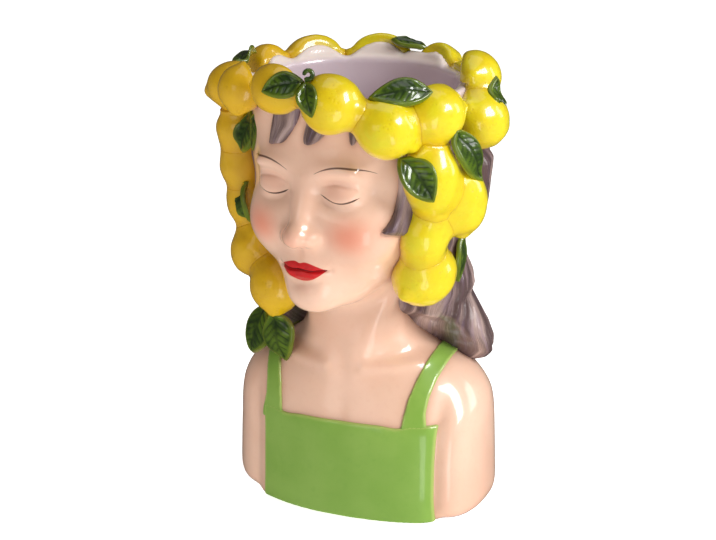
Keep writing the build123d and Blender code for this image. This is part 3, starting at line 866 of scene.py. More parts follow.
class Mat:
    def __init__(m, name):
        m.mat = bpy.data.materials.new(name)
        m.mat.use_nodes = True
        m.nt = m.mat.node_tree
        m.b = m.nt.nodes["Principled BSDF"]
        tc = m.nt.nodes.new("ShaderNodeTexCoord")
        m.obj = tc.outputs["Object"]

    def set(m, **k):
        for a, v in k.items():
            m.b.inputs[a.replace("_", " ")].default_value = v
        return m

    def attr(m, name):
        n = m.nt.nodes.new("ShaderNodeAttribute")
        n.attribute_name = name
        return X(m.nt, n.outputs["Fac"])

    def attrv(m, name):
        n = m.nt.nodes.new("ShaderNodeAttribute")
        n.attribute_name = name
        return n.outputs["Vector"]

    def split(m, sock):
        n = m.nt.nodes.new("ShaderNodeSeparateXYZ")
        m.nt.links.new(sock, n.inputs[0])
        return [X(m.nt, n.outputs[i]) for i in range(3)]

    def local(m, origin, yaw, scale=1000.0):
        """Coordinates in mm in a turned frame."""
        n = m.nt.nodes.new("ShaderNodeMapping")
        n.vector_type = "TEXTURE"
        n.inputs["Location"].default_value = origin
        n.inputs["Rotation"].default_value = (0, 0, yaw)
        n.inputs["Scale"].default_value = (1 / scale,) * 3
        m.nt.links.new(m.obj, n.inputs[0])
        return n.outputs[0]

    def noise(m, scale, detail=3, rough=0.5, vec=None, distort=0.0, col=False):
        n = m.nt.nodes.new("ShaderNodeTexNoise")
        n.inputs["Scale"].default_value = scale
        n.inputs["Detail"].default_value = detail
        n.inputs["Roughness"].default_value = rough
        n.inputs["Distortion"].default_value = distort
        m.nt.links.new(vec or m.obj, n.inputs["Vector"])
        return X(m.nt, n.outputs[0])

    def voronoi(m, scale, vec=None, feature="F1", smooth=None):
        n = m.nt.nodes.new("ShaderNodeTexVoronoi")
        n.feature = feature
        n.inputs["Scale"].default_value = scale
        if smooth is not None:
            n.inputs["Smoothness"].default_value = smooth
        m.nt.links.new(vec or m.obj, n.inputs["Vector"])
        return X(m.nt, n.outputs["Distance"])

    def scaled(m, vec, s):
        n = m.nt.nodes.new("ShaderNodeVectorMath")
        n.operation = "MULTIPLY"
        m.nt.links.new(vec, n.inputs[0])
        n.inputs[1].default_value = s
        return n.outputs[0]

    def mix(m, fac, a, b, mode="MIX"):
        n = m.nt.nodes.new("ShaderNodeMix")
        n.data_type = "RGBA"
        n.blend_type = mode
        n.clamp_factor = True
        fi = n.inputs[0]
        ai, bi = n.inputs[6], n.inputs[7]
        if isinstance(fac, X):
            m.nt.links.new(fac.s, fi)
        else:
            fi.default_value = fac
        for v, i in ((a, ai), (b, bi)):
            if isinstance(v, tuple):
                i.default_value = v if len(v) == 4 else v + (1,)
            else:
                m.nt.links.new(v, i)
        return n.outputs[2]

    def colour(m, sock):
        m.nt.links.new(sock, m.b.inputs["Base Color"])

    def rough(m, x):
        m.nt.links.new(x.s, m.b.inputs["Roughness"])

    def bump(m, height, strength, dist=0.001, prev=None):
        n = m.nt.nodes.new("ShaderNodeBump")
        n.inputs["Strength"].default_value = strength
        n.inputs["Distance"].default_value = dist
        m.nt.links.new(height.s, n.inputs["Height"])
        if prev is not None:
            m.nt.links.new(prev, n.inputs["Normal"])
        m.nt.links.new(n.outputs[0], m.b.inputs["Normal"])
        return n.outputs[0]


def srgb(r, g, b):
    f = lambda c: c / 12.92 if c <= 0.04045 else ((c + 0.055) / 1.055) ** 2.4
    return (f(r), f(g), f(b), 1.0)


GLAZE = dict(Roughness=0.36, Coat_Weight=1.0, Coat_Roughness=0.10, Coat_IOR=1.5)


def skin_material(name, face):
    m = Mat(name).set(**GLAZE)
    m.set(Subsurface_Weight=0.06, Subsurface_Radius=(1.0, 0.45, 0.25), Subsurface_Scale=0.004)
    tone = m.mix(m.noise(17.0, 3, 0.55).ramp(0.35, 0.68), srgb(0.930, 0.775, 0.680), srgb(0.910, 0.738, 0.640))
    fine = m.noise(300.0, 2, 0.5)
    tone = m.mix(fine.ramp(0.50, 0.80) * 0.10, tone, srgb(0.84, 0.62, 0.50))
    # the skin is darker in the hollows along the edges of what is laid on it: partly glaze gathered there, partly
    # painted shade
    tone = m.mix(m.attr("joint_glaze_and_shade") * 0.55, tone, srgb(0.66, 0.40, 0.27))
    if face:
        x, y, z = m.split(m.local((AXIS[0], AXIS[1] + HY / 1000.0, 0), HEAD_YAW))
        ax, fwd = x.abs(), y * -1
        front = fwd.ramp(24, 32)
        # blush on cheeks, nose and lids
        d2 = ((ax - 33) * (1 / 17.0)).pow(2) + ((z - 203) * (1 / 15.0)).pow(2)
        blush = d2.sqrt().ramp(1.25, 0.05) * front
        tone = m.mix(blush * 0.62, tone, srgb(0.90, 0.47, 0.34))
        d2 = ((ax - EYE_X) * (1 / 15.0)).pow(2) + ((z - (EYE_Z + 3)) * (1 / 9.0)).pow(2)
        tone = m.mix(d2.sqrt().ramp(1.1, 0.2) * front * 0.22, tone, srgb(0.86, 0.50, 0.38))
        d2 = (ax * (1 / 11.0)).pow(2) + ((z - 200) * (1 / 9.0)).pow(2)
        tone = m.mix(d2.sqrt().ramp(1.1, 0.2) * fwd.ramp(60, 72) * 0.22, tone, srgb(0.90, 0.52, 0.40))
        # lips
        top = ax * -0.02 + 184.0 - (ax * (1 / 17.0)).pow(2) * 5.2 - (ax * (1 / 2.6)).pow(2)._m("MULTIPLY", -1)._m("EXPONENT") * 1.3
        low = (ax * (1 / 15.5)).pow(2) * 7.3 + 169.9
        lips = (z - low).ramp(-0.25, 0.25) * (z - top).ramp(0.25, -0.25) * ax.ramp(17.4, 16.6) * fwd.ramp(44, 48)
        red = m.mix(m.noise(160, 2).ramp(0.4, 0.7) * 0.35, srgb(0.80, 0.05, 0.07), srgb(0.62, 0.02, 0.05))
        seam = ax.ramp(17.5, 14) * 0.5 - (ax - 7).pow(2)._m("MULTIPLY", -0.06)._m("EXPONENT") * 0.5 + (MOUTH_Z + 0.35)
        line = (z - seam).abs().ramp(0.75, 0.15)
        red = m.mix(line * 0.75, red, srgb(0.30, 0.01, 0.03))
        tone = m.mix(lips, tone, red)
        # painted line of the closed lashes, and the brows
        lash = (ax - EYE_X).pow(2) * 0.026 + (EYE_Z - 5.7)
        thin = (ax - EYE_X).abs().ramp(12.9, 10.0) * 0.50 + 0.06
        w = ((z - lash).abs() - thin).ramp(0.20, -0.10) * (ax - EYE_X).abs().ramp(13.4, 12.4) * front
        tone = m.mix(w * 0.92, tone, srgb(0.20, 0.11, 0.08))
        brow = (ax - 29.0).pow(2) * -0.0165 + (BROW_Z + 5.6)
        thick = (ax - 28.0).abs().ramp(19.0, 6.0) * 0.42 + 0.10
        w = ((z - brow).abs() - thick).ramp(0.22, -0.12) * (ax - 28.0).abs().ramp(18.6, 17.0) * front
        tone = m.mix(w * 0.85, tone, srgb(0.27, 0.15, 0.11))
    # white glaze inside and over the lip; inside the well it is painted a greyer lavender, painted shade
    white = m.mix(m.noise(22, 2).ramp(0.35, 0.7) * 0.5, srgb(0.855, 0.790, 0.820), srgb(0.80, 0.735, 0.785))
    # the band over the lip is painted lighter and warmer than the wall of the well: painted light on the upturned lip
    white = m.mix(m.split(m.obj)[2].ramp(0.2865, 0.2905), white, srgb(0.925, 0.870, 0.840))
    if face:
        tone = m.mix(m.attr("hairline"), tone, srgb(0.44, 0.36, 0.355))
    tone = m.mix(m.attr("white").ramp(0.35, 0.65), tone, white)
    # bare fired clay under the foot
    zz = m.split(m.obj)[2]
    tone = m.mix(zz.ramp(0.0022, 0.0008), tone, srgb(0.86, 0.82, 0.76))
    m.colour(tone)
    m.bump(m.noise(120, 3, 0.5) + m.noise(42, 2, 0.5) * 1.6, 0.10, 0.0006)
    return m.mat


def lemon_material():
    m = Mat("lemon_glaze").set(**GLAZE)
    m.set(Roughness=0.36, Coat_Roughness=0.05)
    cr = m.attr("crease")
    sh = m.attr("shade")
    mott = m.noise(62, 4, 0.6, distort=0.6)
    c = m.mix(mott.ramp(0.38, 0.66), srgb(0.885, 0.800, 0.0), srgb(0.860, 0.815, 0.04))
    c = m.mix(m.noise(150, 3, 0.6).ramp(0.52, 0.72) * 0.40, c, srgb(0.84, 0.72, 0.0))
    c = m.mix(m.noise(240, 3, 0.6).ramp(0.56, 0.74) * 0.35, c, srgb(0.91, 0.87, 0.20))
    # deeper orange-yellow on the figure's right side: partly glaze, partly painted shade away from the key light
    c = m.mix(m.attr("side_shade_and_deep_glaze") * (mott * 0.5 + 0.75), c, srgb(0.845, 0.625, 0.0))
    # painted shade: deeper orange-yellow on faces turned away from the key light and near the joints
    c = m.mix(sh * 0.80, c, srgb(0.82, 0.62, 0.0))
    # darker ochre where the fruit meets its neighbours, the skin and the hair: partly ochre paint, partly painted
    # shade
    c = m.mix(cr.pow(1.2) * 0.80, c, srgb(0.74, 0.47, 0.0))
    # pores of the peel, with painted shade darkening the bottom of each pit
    v = m.voronoi(330.0, feature="SMOOTH_F1", smooth=0.25)
    pore = v.ramp(0.34, 0.10) * m.noise(90, 2).ramp(0.42, 0.62)
    c = m.mix(pore * 0.18, c, srgb(0.74, 0.58, 0.0))
    m.colour(c)
    h = pore * -0.55 + m.noise(95, 3, 0.55) * 0.9 + m.noise(260, 2, 0.5) * 0.25
    m.bump(h, 0.36, 0.0007)
    return m.mat


def leaf_material():
    m = Mat("leaf_glaze").set(**GLAZE)
    rim, vein = m.attr("rim"), m.attr("vein")
    c = m.mix(m.noise(70, 3, 0.6).ramp(0.35, 0.68), srgb(0.13, 0.235, 0.02), srgb(0.335, 0.445, 0.03))
    c = m.mix(vein * 0.85, c, srgb(0.05, 0.13, 0.04))
    c = m.mix(rim.pow(1.8) * 0.55, c, srgb(0.44, 0.50, 0.06))
    m.colour(c)
    m.bump(m.noise(140, 3, 0.5), 0.16, 0.0006)
    return m.mat


def hair_material():
    m = Mat("hair_glaze").set(**GLAZE)
    m.set(Coat_Weight=0.8, Coat_Roughness=0.09)
    g = m.attr("groove")
    fl = m.attrv("flow")
    fine = m.noise(1.0, 3, 0.6, vec=m.scaled(fl, (2.3, 0.075, 1.0)))
    wide = m.noise(1.0, 2, 0.5, vec=m.scaled(fl, (0.32, 0.030, 1.0)))
    t = (g * 0.55 + fine * 0.75 + wide * 0.35)
    c = m.mix(t.ramp(0.42, 1.12), srgb(0.340, 0.262, 0.262), srgb(0.730, 0.630, 0.600))
    c = m.mix(wide.ramp(0.50, 0.68) * 0.40, c, srgb(0.47, 0.39, 0.48))
    c = m.mix(fine.ramp(0.60, 0.80) * 0.45, c, srgb(0.76, 0.70, 0.67))
    m.colour(c)
    m.bump(fine * 1.0, 0.35, 0.0006)
    return m.mat


def dress_material():
    m = Mat("dress_glaze").set(**GLAZE)
    c = m.mix(m.noise(28, 3, 0.5).ramp(0.35, 0.7), srgb(0.535, 0.690, 0.290), srgb(0.500, 0.665, 0.255))
    c = m.mix(m.noise(210, 2, 0.5).ramp(0.5, 0.8) * 0.14, c, srgb(0.40, 0.59, 0.20))
    # lighter line along the raised edges of the bodice and straps: painted highlight
    c = m.mix(m.attr("edge") * 0.60, c, srgb(0.72, 0.78, 0.44))
    m.colour(c)
    m.bump(m.noise(110, 3, 0.5) + m.noise(36, 2, 0.5) * 1.6, 0.10, 0.0006)
    return m.mat


def rubber_material():
    m = Mat("stopper_rubber").set(Roughness=0.55)
    c = m.mix(m.noise(260, 3).ramp(0.4, 0.7), srgb(0.80, 0.80, 0.78), srgb(0.74, 0.74, 0.72))
    m.colour(c)
    m.bump(m.noise(700, 2), 0.15, 0.0003)
    return m.mat


MAT_HEAD = skin_material("skin_glaze_head", True)
MAT_BODY = skin_material("skin_glaze_body", False)
MAT_LEMON, MAT_LEAF, MAT_HAIR, MAT_DRESS, MAT_RUBBER = lemon_material(), leaf_material(), hair_material(), dress_material(), rubber_material()


# ------------------------------------------------------------------ the two castings
def casting(name, f, lo, hi, h):
    v, q = net(f, lo, hi, h)
    v = pull(f, v, 4, 0.8)
    ob = make(name, v, q)
    relax(ob, 1, 0.35)
    p = coords(ob)
    set_coords(ob, pull(f, p, 3, 0.5))
    return ob


def cut_at(ob, z, keep_above):
    """The joint face between the two castings, flat, with a sharp edge."""
    bm = bmesh.new()
    bm.from_mesh(ob.data)
    geom = bm.verts[:] + bm.edges[:] + bm.faces[:]
    bmesh.ops.bisect_plane(bm, geom=geom, dist=1e-6, plane_co=(0, 0, z / 1000.0), plane_no=(0, 0, 1),
                           clear_outer=not keep_above, clear_inner=keep_above)
    rim = [e for e in bm.edges if e.is_boundary]
    # bridge the outer ring to the inner one
    if rim:
        bmesh.ops.bridge_loops(bm, edges=rim)
    for e in rim:
        e.smooth = False
    bmesh.ops.recalc_face_normals(bm, faces=bm.faces)
    bm.to_mesh(ob.data)
    bm.free()


def skin_attributes(ob):
    p = coords(ob)
    white = step(-skin_sdf(p, True), 2.2, 3.2)
    white = np.maximum(white, step(p[:, 2], 281, 283))
    attribute(ob, "white", white)
    # hair colour brushed on the wall behind the garland
    f = np.abs(polar(p)[0])
    attribute(ob, "hairline", step(p[:, 2], 240, 246) * step(f, 46, 54) * (1 - white))
    # how near the laid-on pieces are
    d = np.full(len(p), 50.0)
    top = p[:, 2] > 128
    d[top] = lemons_sdf(p[top], 3.0)
    d = np.minimum(d, np.where(p[:, 2] > 60, hair_sdf(p), 50.0))
    for k in FRINGE + [SIDE_LOCK]:
        s = (p[:, 2] > 190) & (p[:, 1] < 0)
        e = np.full(len(p), 50.0)
        e[s] = lock_sdf(p[s], *k)
        d = np.minimum(d, e)
    low = p[:, 2] < 122
    e = np.full(len(p), 50.0)
    e[low] = np.minimum(bodice_front_sdf(p[low]), np.minimum(strap_sdf(1)(p[low]), strap_sdf(-1)(p[low])))
    d = np.minimum(d, e + 0.8)
    # darker near the laid-on pieces: partly gathered glaze, partly painted shade
    attribute(ob, "joint_glaze_and_shade", np.exp(-(np.clip(d, 0, 40) / 2.2)) * 0.9)


CAST_H = 1.9
whole = casting("head_casting_form", casting_sdf, (-95, -96, -3), (95, 80, 309), CAST_H)
body_form = whole.copy()
body_form.data = whole.data.copy()
bpy.context.scene.collection.objects.link(body_form)
body_form.name = "torso_casting_form"


def face_zone(p, x, lo, hi, fwd):
    q = head_local(p)
    return (np.abs(q[:, 0]) < x) & (q[:, 2] > lo) & (q[:, 2] < hi) & (q[:, 1] > fwd)


refine(whole, lambda p: face_zone(p, 54, 146, 262, 22), casting_sdf)
refine(whole, lambda p: face_zone(p, 42, 166, 246, 36), casting_sdf)
refine(whole, lambda p: face_zone(p, 19.5, 168, 187, 44), casting_sdf)
cut_at(whole, 118, True)
cut_at(body_form, 118, False)
skin_attributes(whole)
skin_attributes(body_form)
place(whole, ["head_casting"], MAT_HEAD)
place(body_form, ["torso_casting"], MAT_BODY)


# ------------------------------------------------------------------ lemons
def sphere_grid(level):
    bm = bmesh.new()
    bmesh.ops.create_icosphere(bm, subdivisions=level, radius=1.0)
    v = np.array([tuple(x.co) for x in bm.verts])
    f = np.array([[x.index for x in face.verts] for face in bm.faces])
    bm.free()
    return v / np.linalg.norm(v, axis=1)[:, None], f


def lemon_piece(L, level):
    dirs, faces = sphere_grid(level)
    phi = math.radians(polar(L.c[None])[0][0])
    er = np.array([math.sin(phi), -math.cos(phi), 0.0])
    r0 = polar(L.c[None])[1][0]
    o = L.c + er * max(0.0, 79.5 - r0) * (1.0 if L.c[2] > 262 else 0.0)
    while skin_sdf(o[None], False)[0] < 3.0:
        o = o + er * 1.0
    D = dirs @ L.R.T
    t0, t1 = np.zeros(len(D)), np.full(len(D), L.a * 1.7)
    # first crossing outward from the middle
    T = np.full(len(D), np.nan)
    prev = lemon_field(L, np.repeat(o[None], len(D), 0))
    tt = np.zeros(len(D))
    n = 26
    for i in range(1, n + 1):
        t = t1 * i / n
        val = lemon_field(L, o + D * t[:, None])
        new = np.isnan(T) & (val > 0)
        T[new] = t[new]
        tt[new] = t1[new] * (i - 1) / n
    T = np.where(np.isnan(T), t1, T)
    a, b = tt, T.copy()
    for _ in range(14):
        m = (a + b) / 2
        val = lemon_field(L, o + D * m[:, None])
        a, b = np.where(val < 0, m, a), np.where(val < 0, b, m)
    p = o + D * ((a + b) / 2)[:, None]
    ob = make(L.name + "_form", p, faces)
    own, rest = L.d(p), np.full(len(p), 40.0)
    for M in L.near:
        rest = np.minimum(rest, M.d(p))
    skin = np.clip(skin_sdf(p, False), -5, 40)
    hair = np.clip(hair_sdf(p), -5, 40)
    # over the lip the ochre tint and painted shade of the joints are left out
    skin = skin + 30 * step(p[:, 2], 280, 286) * step(polar(p)[1], 82, 76)
    near = np.minimum(np.minimum(rest, skin), hair + 1.0)
    # darkening near neighbouring pieces: partly ochre paint, partly painted shade
    attribute(ob, "crease", np.exp(-np.clip(near, 0, 40) / 2.6))
    n = gradient(L.d, p)
    n /= np.linalg.norm(n, axis=1)[:, None] + 1e-9
    # painted shade: faces turned away from the key light get the deeper colour
    shade = np.clip(-(n @ np.array([0.45, -0.25, 0.62])) * 0.9 + 0.15, 0, 1)
    attribute(ob, "shade", shade * 0.75 + 0.25 * np.exp(-np.clip(near, 0, 40) / 9.0))
    # the fruit of the figure's right side, turned from the key light, is painted a deeper orange-yellow: partly a
    # deeper glaze, partly painted shade
    attribute(ob, "side_shade_and_deep_glaze", 0.72 * step(p[:, 0] * 0.9 + p[:, 1] * 0.42, 5, -75))
    return ob


BACK = {"crown_lemon_06_back_left", "crown_lemon_07_back_left", "crown_lemon_08_back", "under_lemon_1_back_left", "under_lemon_2_back_left",
        "under_lemon_3_back", "under_lemon_4_back_right", "under_lemon_5_back_right", "right_fall_lemon_6_behind", "right_fall_lemon_7_behind",
        "crown_lemon_09_back_right"}
for L in LEM:
    level = 4 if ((L.name in BACK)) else 5
    # icosphere levels in bmesh start at 1 for the plain solid
    ob = lemon_piece(L, level + 1)
    place(ob, [L.name], MAT_LEMON)


# ------------------------------------------------------------------ hair
def hair_attributes(ob, groove, flow):
    attribute(ob, "groove", groove)
    attribute3(ob, "flow", flow)


HAIR_H = 1.5
v, q = net(hair_sdf, (-98, -50, 80), (98, 80, 262), HAIR_H)
v = pull(hair_sdf, v, 3, 0.8)
hair = make("hair_back_form", v, q)
hair_tmp = coords(hair)
p = coords(hair)
phi, r = polar(p)
u, s = hair_flow(phi, p[:, 2])
u = u + 0.9 * s * (r - hair_radius(phi, p[:, 2])) * step(p[:, 2], 172, 138)
hair_attributes(hair, strands(u * 1.15, p[:, 2], 3), np.stack([u * 1.15, p[:, 2], s * 0], 1))
place(hair, ["hair_back"], MAT_HAIR)


def lock_piece(name, specs, h):
    V, Q, G, F = [], [], [], []
    n = 0
    for spec in specs:
        bearing, loop, thick, fp, seed = spec
        f = lambda p: lock_sdf(p, *spec)
        a = math.radians(bearing)
        side, fwd = np.array([math.cos(a), math.sin(a)]), np.array([math.sin(a), -math.cos(a)])
        s0, s1 = loop[:, 0].min() - 3, loop[:, 0].max() + 3
        xy = [side * s_ + fwd * f_ for s_ in (s0, s1) for f_ in (35, 92)]
        lo = [min(c[0] for c in xy), min(c[1] for c in xy), loop[:, 1].min() - 3]
        hi = [max(c[0] for c in xy), max(c[1] for c in xy), loop[:, 1].max() + 3]
        v, q = net(f, lo, hi, h)
        v = pull(f, v, 3, 0.5)
        s_ = v[:, 0] * side[0] + v[:, 1] * side[1]
        fa = np.array(fp, float)
        u = (s_ - np.interp(v[:, 2], fa[:, 0], fa[:, 1])) / np.maximum(np.interp(v[:, 2], fa[:, 0], fa[:, 2]), 2.0) * 11.0 + 40
        G.append(strands(u, v[:, 2], seed))
        F.append(np.stack([u, v[:, 2], np.full(len(v), seed * 1.0)], 1))
        V.append(v)
        Q.append(q + n)
        n += len(v)
    ob = make(name + "_form", np.concatenate(V), np.concatenate(Q))
    hair_attributes(ob, np.concatenate(G), np.concatenate(F))
    return place(ob, [name], MAT_HAIR)


LOCK_H = 0.8
lock_piece("fringe_locks", FRINGE, LOCK_H)
lock_piece("hair_side_lock", [SIDE_LOCK], LOCK_H)


# ------------------------------------------------------------------ dress
def cloth(name, f, lo, hi, edge, h):
    v, q = net(f, lo, hi, h)
    v = pull(f, v, 4, 0.6)
    ob = make(name + "_form", v, q)
    relax(ob, 1, 0.4)
    p = coords(ob)
    p = pull(f, p, 2, 0.4)
    set_coords(ob, p)
    # the lighter line along the edges is a painted highlight
    attribute(ob, "edge", edge(p))
    return place(ob, [name], MAT_DRESS)


# painted highlight along the raised edge of the bodice panel
def panel_edge_highlight(p):
    x, y, z = dress_local(p)
    e = panel_outline(x, z)
    return step(e, -1.9, -0.5)


# painted highlight along the raised edges of the straps
def strap_edge_highlight(sign):
    def g(p):
        x, y, z = dress_local(p)
        c, w = strap_line(z, y)
        return step(np.abs(sign * x - c) - w, -1.8, -0.5) * step(z, 66, 70)
    return g


DRESS_H = 1.3
cloth("bodice_front", bodice_front_sdf, (-72, -84, -1), (72, 2, 76), panel_edge_highlight, DRESS_H)
cloth("bodice_back", bodice_back_sdf, (-72, -2, -1), (72, 84, 76), panel_edge_highlight, DRESS_H)
cloth("strap_left", strap_sdf(1), (34, -70, 56), (82, 70, 124), strap_edge_highlight(1), DRESS_H)
cloth("strap_right", strap_sdf(-1), (-82, -70, 56), (-34, 70, 124), strap_edge_highlight(-1), DRESS_H)


# ------------------------------------------------------------------ leaves
# name, stalk end, tip, width, the way it faces, sideways bend, roundness of its back
LEAVES = [
    ("leaf_rim_right", (-79.9, -27.0, 294.5), (-83.8, -2.2, 301.4), 17, (-.20, -.62, .75), 0, 30),
    ("leaf_brow_flat", (1.6, -98.6, 307.6), (-25.2, -102.4, 298.7), 18, (.02, -.93, .37), 0, 30),
    ("leaf_brow_hanging", (4.7, -99.0, 307.2), (12.9, -106.5, 286.4), 14, (.34, -.82, .46), 0, 30),
    ("leaf_crown_front", (74.9, -58.9, 301.0), (42.5, -83.8, 300.0), 20, (.47, -.64, .60), 0, 36),
    ("leaf_rim_back", (-9.5, 63.5, 298.8), (15.6, 66.5, 294.4), 14, (.03, -.22, .97), 0, 90),
    ("leaf_rim_left", (89.0, 8.5, 272.0), (85.0, 14.5, 294.3), 16, (.86, -.05, .40), 0, 30),
    ("leaf_fall_left_high", (88.1, -49.5, 272.7), (96.3, -20.7, 233.7), 20, (.98, -.21, .03), 0, 42),
    ("leaf_temple_left", (57.3, -70.6, 256.5), (77.9, -64.2, 228.3), 22.6, (.60, -.76, .26), -2.4, 36),
    ("leaf_temple_right_outer", (-59.5, -45.0, 271.0), (-76.0, -42.0, 239.0), 20, (-.5, -.83, .24), -2, 34),
    ("leaf_temple_right_inner", (-50.1, -51.0, 271.4), (-59.0, -50.0, 243.3), 14, (-.25, -.96, .05), 0, 34),
    ("leaf_fall_right_low", (-75.0, -37.0, 216.2), (-69.6, -34.6, 187.1), 15, (-.9, -.4, -.16), 0, 34),
    ("leaf_tail_right_outer", (-60.0, -36.4, 132.0), (-72.4, -36.1, 95.4), 24, (-.42, -.89, .15), -2, 34),
    ("leaf_tail_right_inner", (-47.5, -42.0, 131.8), (-39.3, -44.6, 97.4), 26, (-.06, -1.0, .03), 2, 34),
    ("leaf_fall_left_behind", (76.2, -6.0, 191.0), (74.0, -6.5, 158.0), 16, (.99, .08, -.05), 0, 34),
    ("leaf_back_high", (12.0, 86.0, 268.0), (-14.0, 83.0, 251.0), 17, (-.05, 1, .1), 0, 34),
    ("leaf_back_left", (59.2, 60.6, 267.0), (73.6, 51.4, 241.0), 18, (.72, .70, .05), 0, 36),
    ("leaf_back_right", (-66.0, 56.0, 272.0), (-80.0, 42.0, 246.0), 18, (-.75, .66, .1), 0, 36),
    ("leaf_fall_right_behind", (-88.0, 12.0, 222.0), (-84.0, 16.0, 192.0), 15, (-.88, .46, 0), 0, 34),
]


def under_leaf(p, near):
    """What a leaf is laid on: fruit, hair and skin, rounded off."""
    d = skin_sdf(p, False)
    if near:
        d = smin(d, lemons_sdf(p, 7.0, near), 5.0)
    return smin(d, hair_sdf(p), 4.0)


def leaf_piece(row, index):
    name, stalk, tip, width, facing, bend, crown = row
    s, t, f = (np.array(c, float) for c in (stalk, tip, facing))
    L = np.linalg.norm(t - s)
    ax = (t - s) / L
    nn = f - ax * (f @ ax)
    nn /= np.linalg.norm(nn)
    yv = np.cross(nn, ax)
    nu, nv = 58, 30
    uu = np.linspace(0, 1, nu)
    q = 0.5 - 0.5 * np.cos(np.pi * uu)
    q = 0.5 * q + 0.5 * uu
    q = 0.004 + q * 0.992

    def half(q):
        w = width / 2 * np.maximum(np.sin(np.pi * q ** .85), 0) ** .8
        return np.maximum(w, 0.95 * step(q, 0.30, 0.0) + 0.10)

    def mid(q):
        return -bend * np.sin(np.pi * q) + 0.5 * np.sin(6.0 * q + index)

    # height of the blade above its own plane
    R = crown + 1.2
    low = R - 3.0
    gq, gt = np.linspace(0, 1, 22), np.linspace(-1, 1, 15)
    Q, T = np.meshgrid(gq, gt, indexing="ij")
    X, Y = L * Q, mid(Q) + np.maximum(half(Q), 1.2) * T
    dome = np.sqrt(np.maximum(R * R - (X - L / 2) ** 2 - Y ** 2, 1)) - low
    near = [M for M in LEM if np.linalg.norm(M.c - (s + t) / 2) < M.a + L / 2 + 14]
    hs = np.linspace(9, -13, 38)
    base = s + ax * X.ravel()[:, None] + yv * Y.ravel()[:, None]
    hit = np.full(len(base), np.nan)
    last = None
    for h in hs:
        hh = dome.ravel() + h
        val = under_leaf(base + nn * hh[:, None], near)
        if last is not None:
            new = np.isnan(hit) & (val < 0)
            fr = last[1] / np.maximum(last[1] - val, 1e-6)
            hit[new] = (last[0] + (h - last[0]) * fr)[new]
        last = (h, val)
    sink = -11.0 if name == "leaf_rim_back" else -3.6
    lift = 0.6 if name == "leaf_rim_back" else 3.6
    off = np.where(np.isnan(hit), sink / 2, np.clip(hit + 1.4, sink, lift)).reshape(Q.shape)
    need = np.where(np.isnan(hit), -9, np.minimum(hit + 0.9, lift)).reshape(Q.shape)
    for _ in range(6):
        pad = np.pad(off, 1, mode="edge")
        sm = (pad[:-2, 1:-1] + pad[2:, 1:-1] + pad[1:-1, :-2] + pad[1:-1, 2:] + 2 * off) / 6
        off = np.maximum(sm, np.minimum(need, sm + 0.5))
    surf = dome + off

    def height(qv, tv):
        a = np.clip(qv * 21, 0, 20.999)
        b = np.clip((tv + 1) * 7, 0, 13.999)
        i, j = a.astype(int), b.astype(int)
        fa, fb = a - i, b - j
        return (surf[i, j] * (1 - fa) * (1 - fb) + surf[i + 1, j] * fa * (1 - fb) + surf[i, j + 1] * (1 - fa) * fb + surf[i + 1, j + 1] * fa * fb)

    # outline, for the distance to the edge
    oq = np.linspace(0, 1, 160)
    ol = np.concatenate([np.stack([L * oq, mid(oq) + half(oq)], 1), np.stack([L * oq, mid(oq) - half(oq)], 1)])

    def edge(x, y):
        d = np.full(x.shape, 1e9)
        for c in ol:
            d = np.minimum(d, (x - c[0]) ** 2 + (y - c[1]) ** 2)
        return np.sqrt(d)

    tt = np.linspace(-1, 1, nv)
    tt = 1.42 * tt - 0.42 * tt ** 3
    tt[0], tt[-1] = -1, 1
    QQ, TT = np.meshgrid(q, tt, indexing="ij")
    x, y = L * QQ, mid(QQ) + half(QQ) * TT
    e = edge(x, y)
    e[:, 0] = e[:, -1] = 0
    yy = y - mid(QQ)
    hw = half(QQ)
    r = 1.25
    round_ = -r + np.sqrt(np.maximum(r * r - (r - np.minimum(e, r)) ** 2, 0))
    body = step(e, 1.7, 4.2) * step(QQ, 0.03, 0.15)
    sp = 4.9
    ph = (x - 0.95 * np.abs(yy) + 0.014 * yy ** 2 + 1.3 * (yy > 0)) / sp
    fr = np.abs(ph - np.round(ph)) * sp
    side = np.exp(-(fr / 0.62) ** 2) * step(np.abs(yy), 0.5, 1.6) * body
    midrib = np.exp(-(yy / 0.75) ** 2) * step(QQ, 1.0, 0.86) * step(hw, 1.4, 3.4)
    rim = np.exp(-((e - 1.55) / 0.95) ** 2) * step(hw, 0.8, 2.6)
    relief_ = round_ + 0.75 * rim - 0.85 * midrib - 0.50 * side + 0.30 * body
    relief_ = relief_ + 0.14 * noise3(np.stack([x.ravel(), y.ravel(), x.ravel() * 0 + index], 1), 4.0, index + 60).reshape(x.shape)
    top = height(QQ, TT) + relief_
    thick = 2.7
    bot = height(QQ, TT) - thick - round_
    P = lambda z: (s + ax * x[..., None] + yv * y[..., None] + nn * z[..., None])
    A, B = P(top), P(bot)
    A[:, 0] = (A[:, 0] + B[:, 0]) / 2
    A[:, -1] = (A[:, -1] + B[:, -1]) / 2
    ring = np.concatenate([A, B[:, -2:0:-1]], 1)
    n = ring.shape[1]
    verts = ring.reshape(-1, 3)
    faces = []
    for i in range(nu - 1):
        for j in range(n):
            k = (j + 1) % n
            faces.append((i * n + j, (i + 1) * n + j, (i + 1) * n + k, i * n + k))
    # closed ends
    c0, c1 = len(verts), len(verts) + 1
    verts = np.concatenate([verts, [ring[0].mean(0) - ax * 0.6], [ring[-1].mean(0) + ax * 0.1]])
    for j in range(n):
        k = (j + 1) % n
        faces.append((j, k, c0))
        faces.append(((nu - 1) * n + k, (nu - 1) * n + j, c1))
    ob = make(name + "_form", verts, [tuple(int(a) for a in fc) for fc in faces])
    tidy(ob, 0.005)
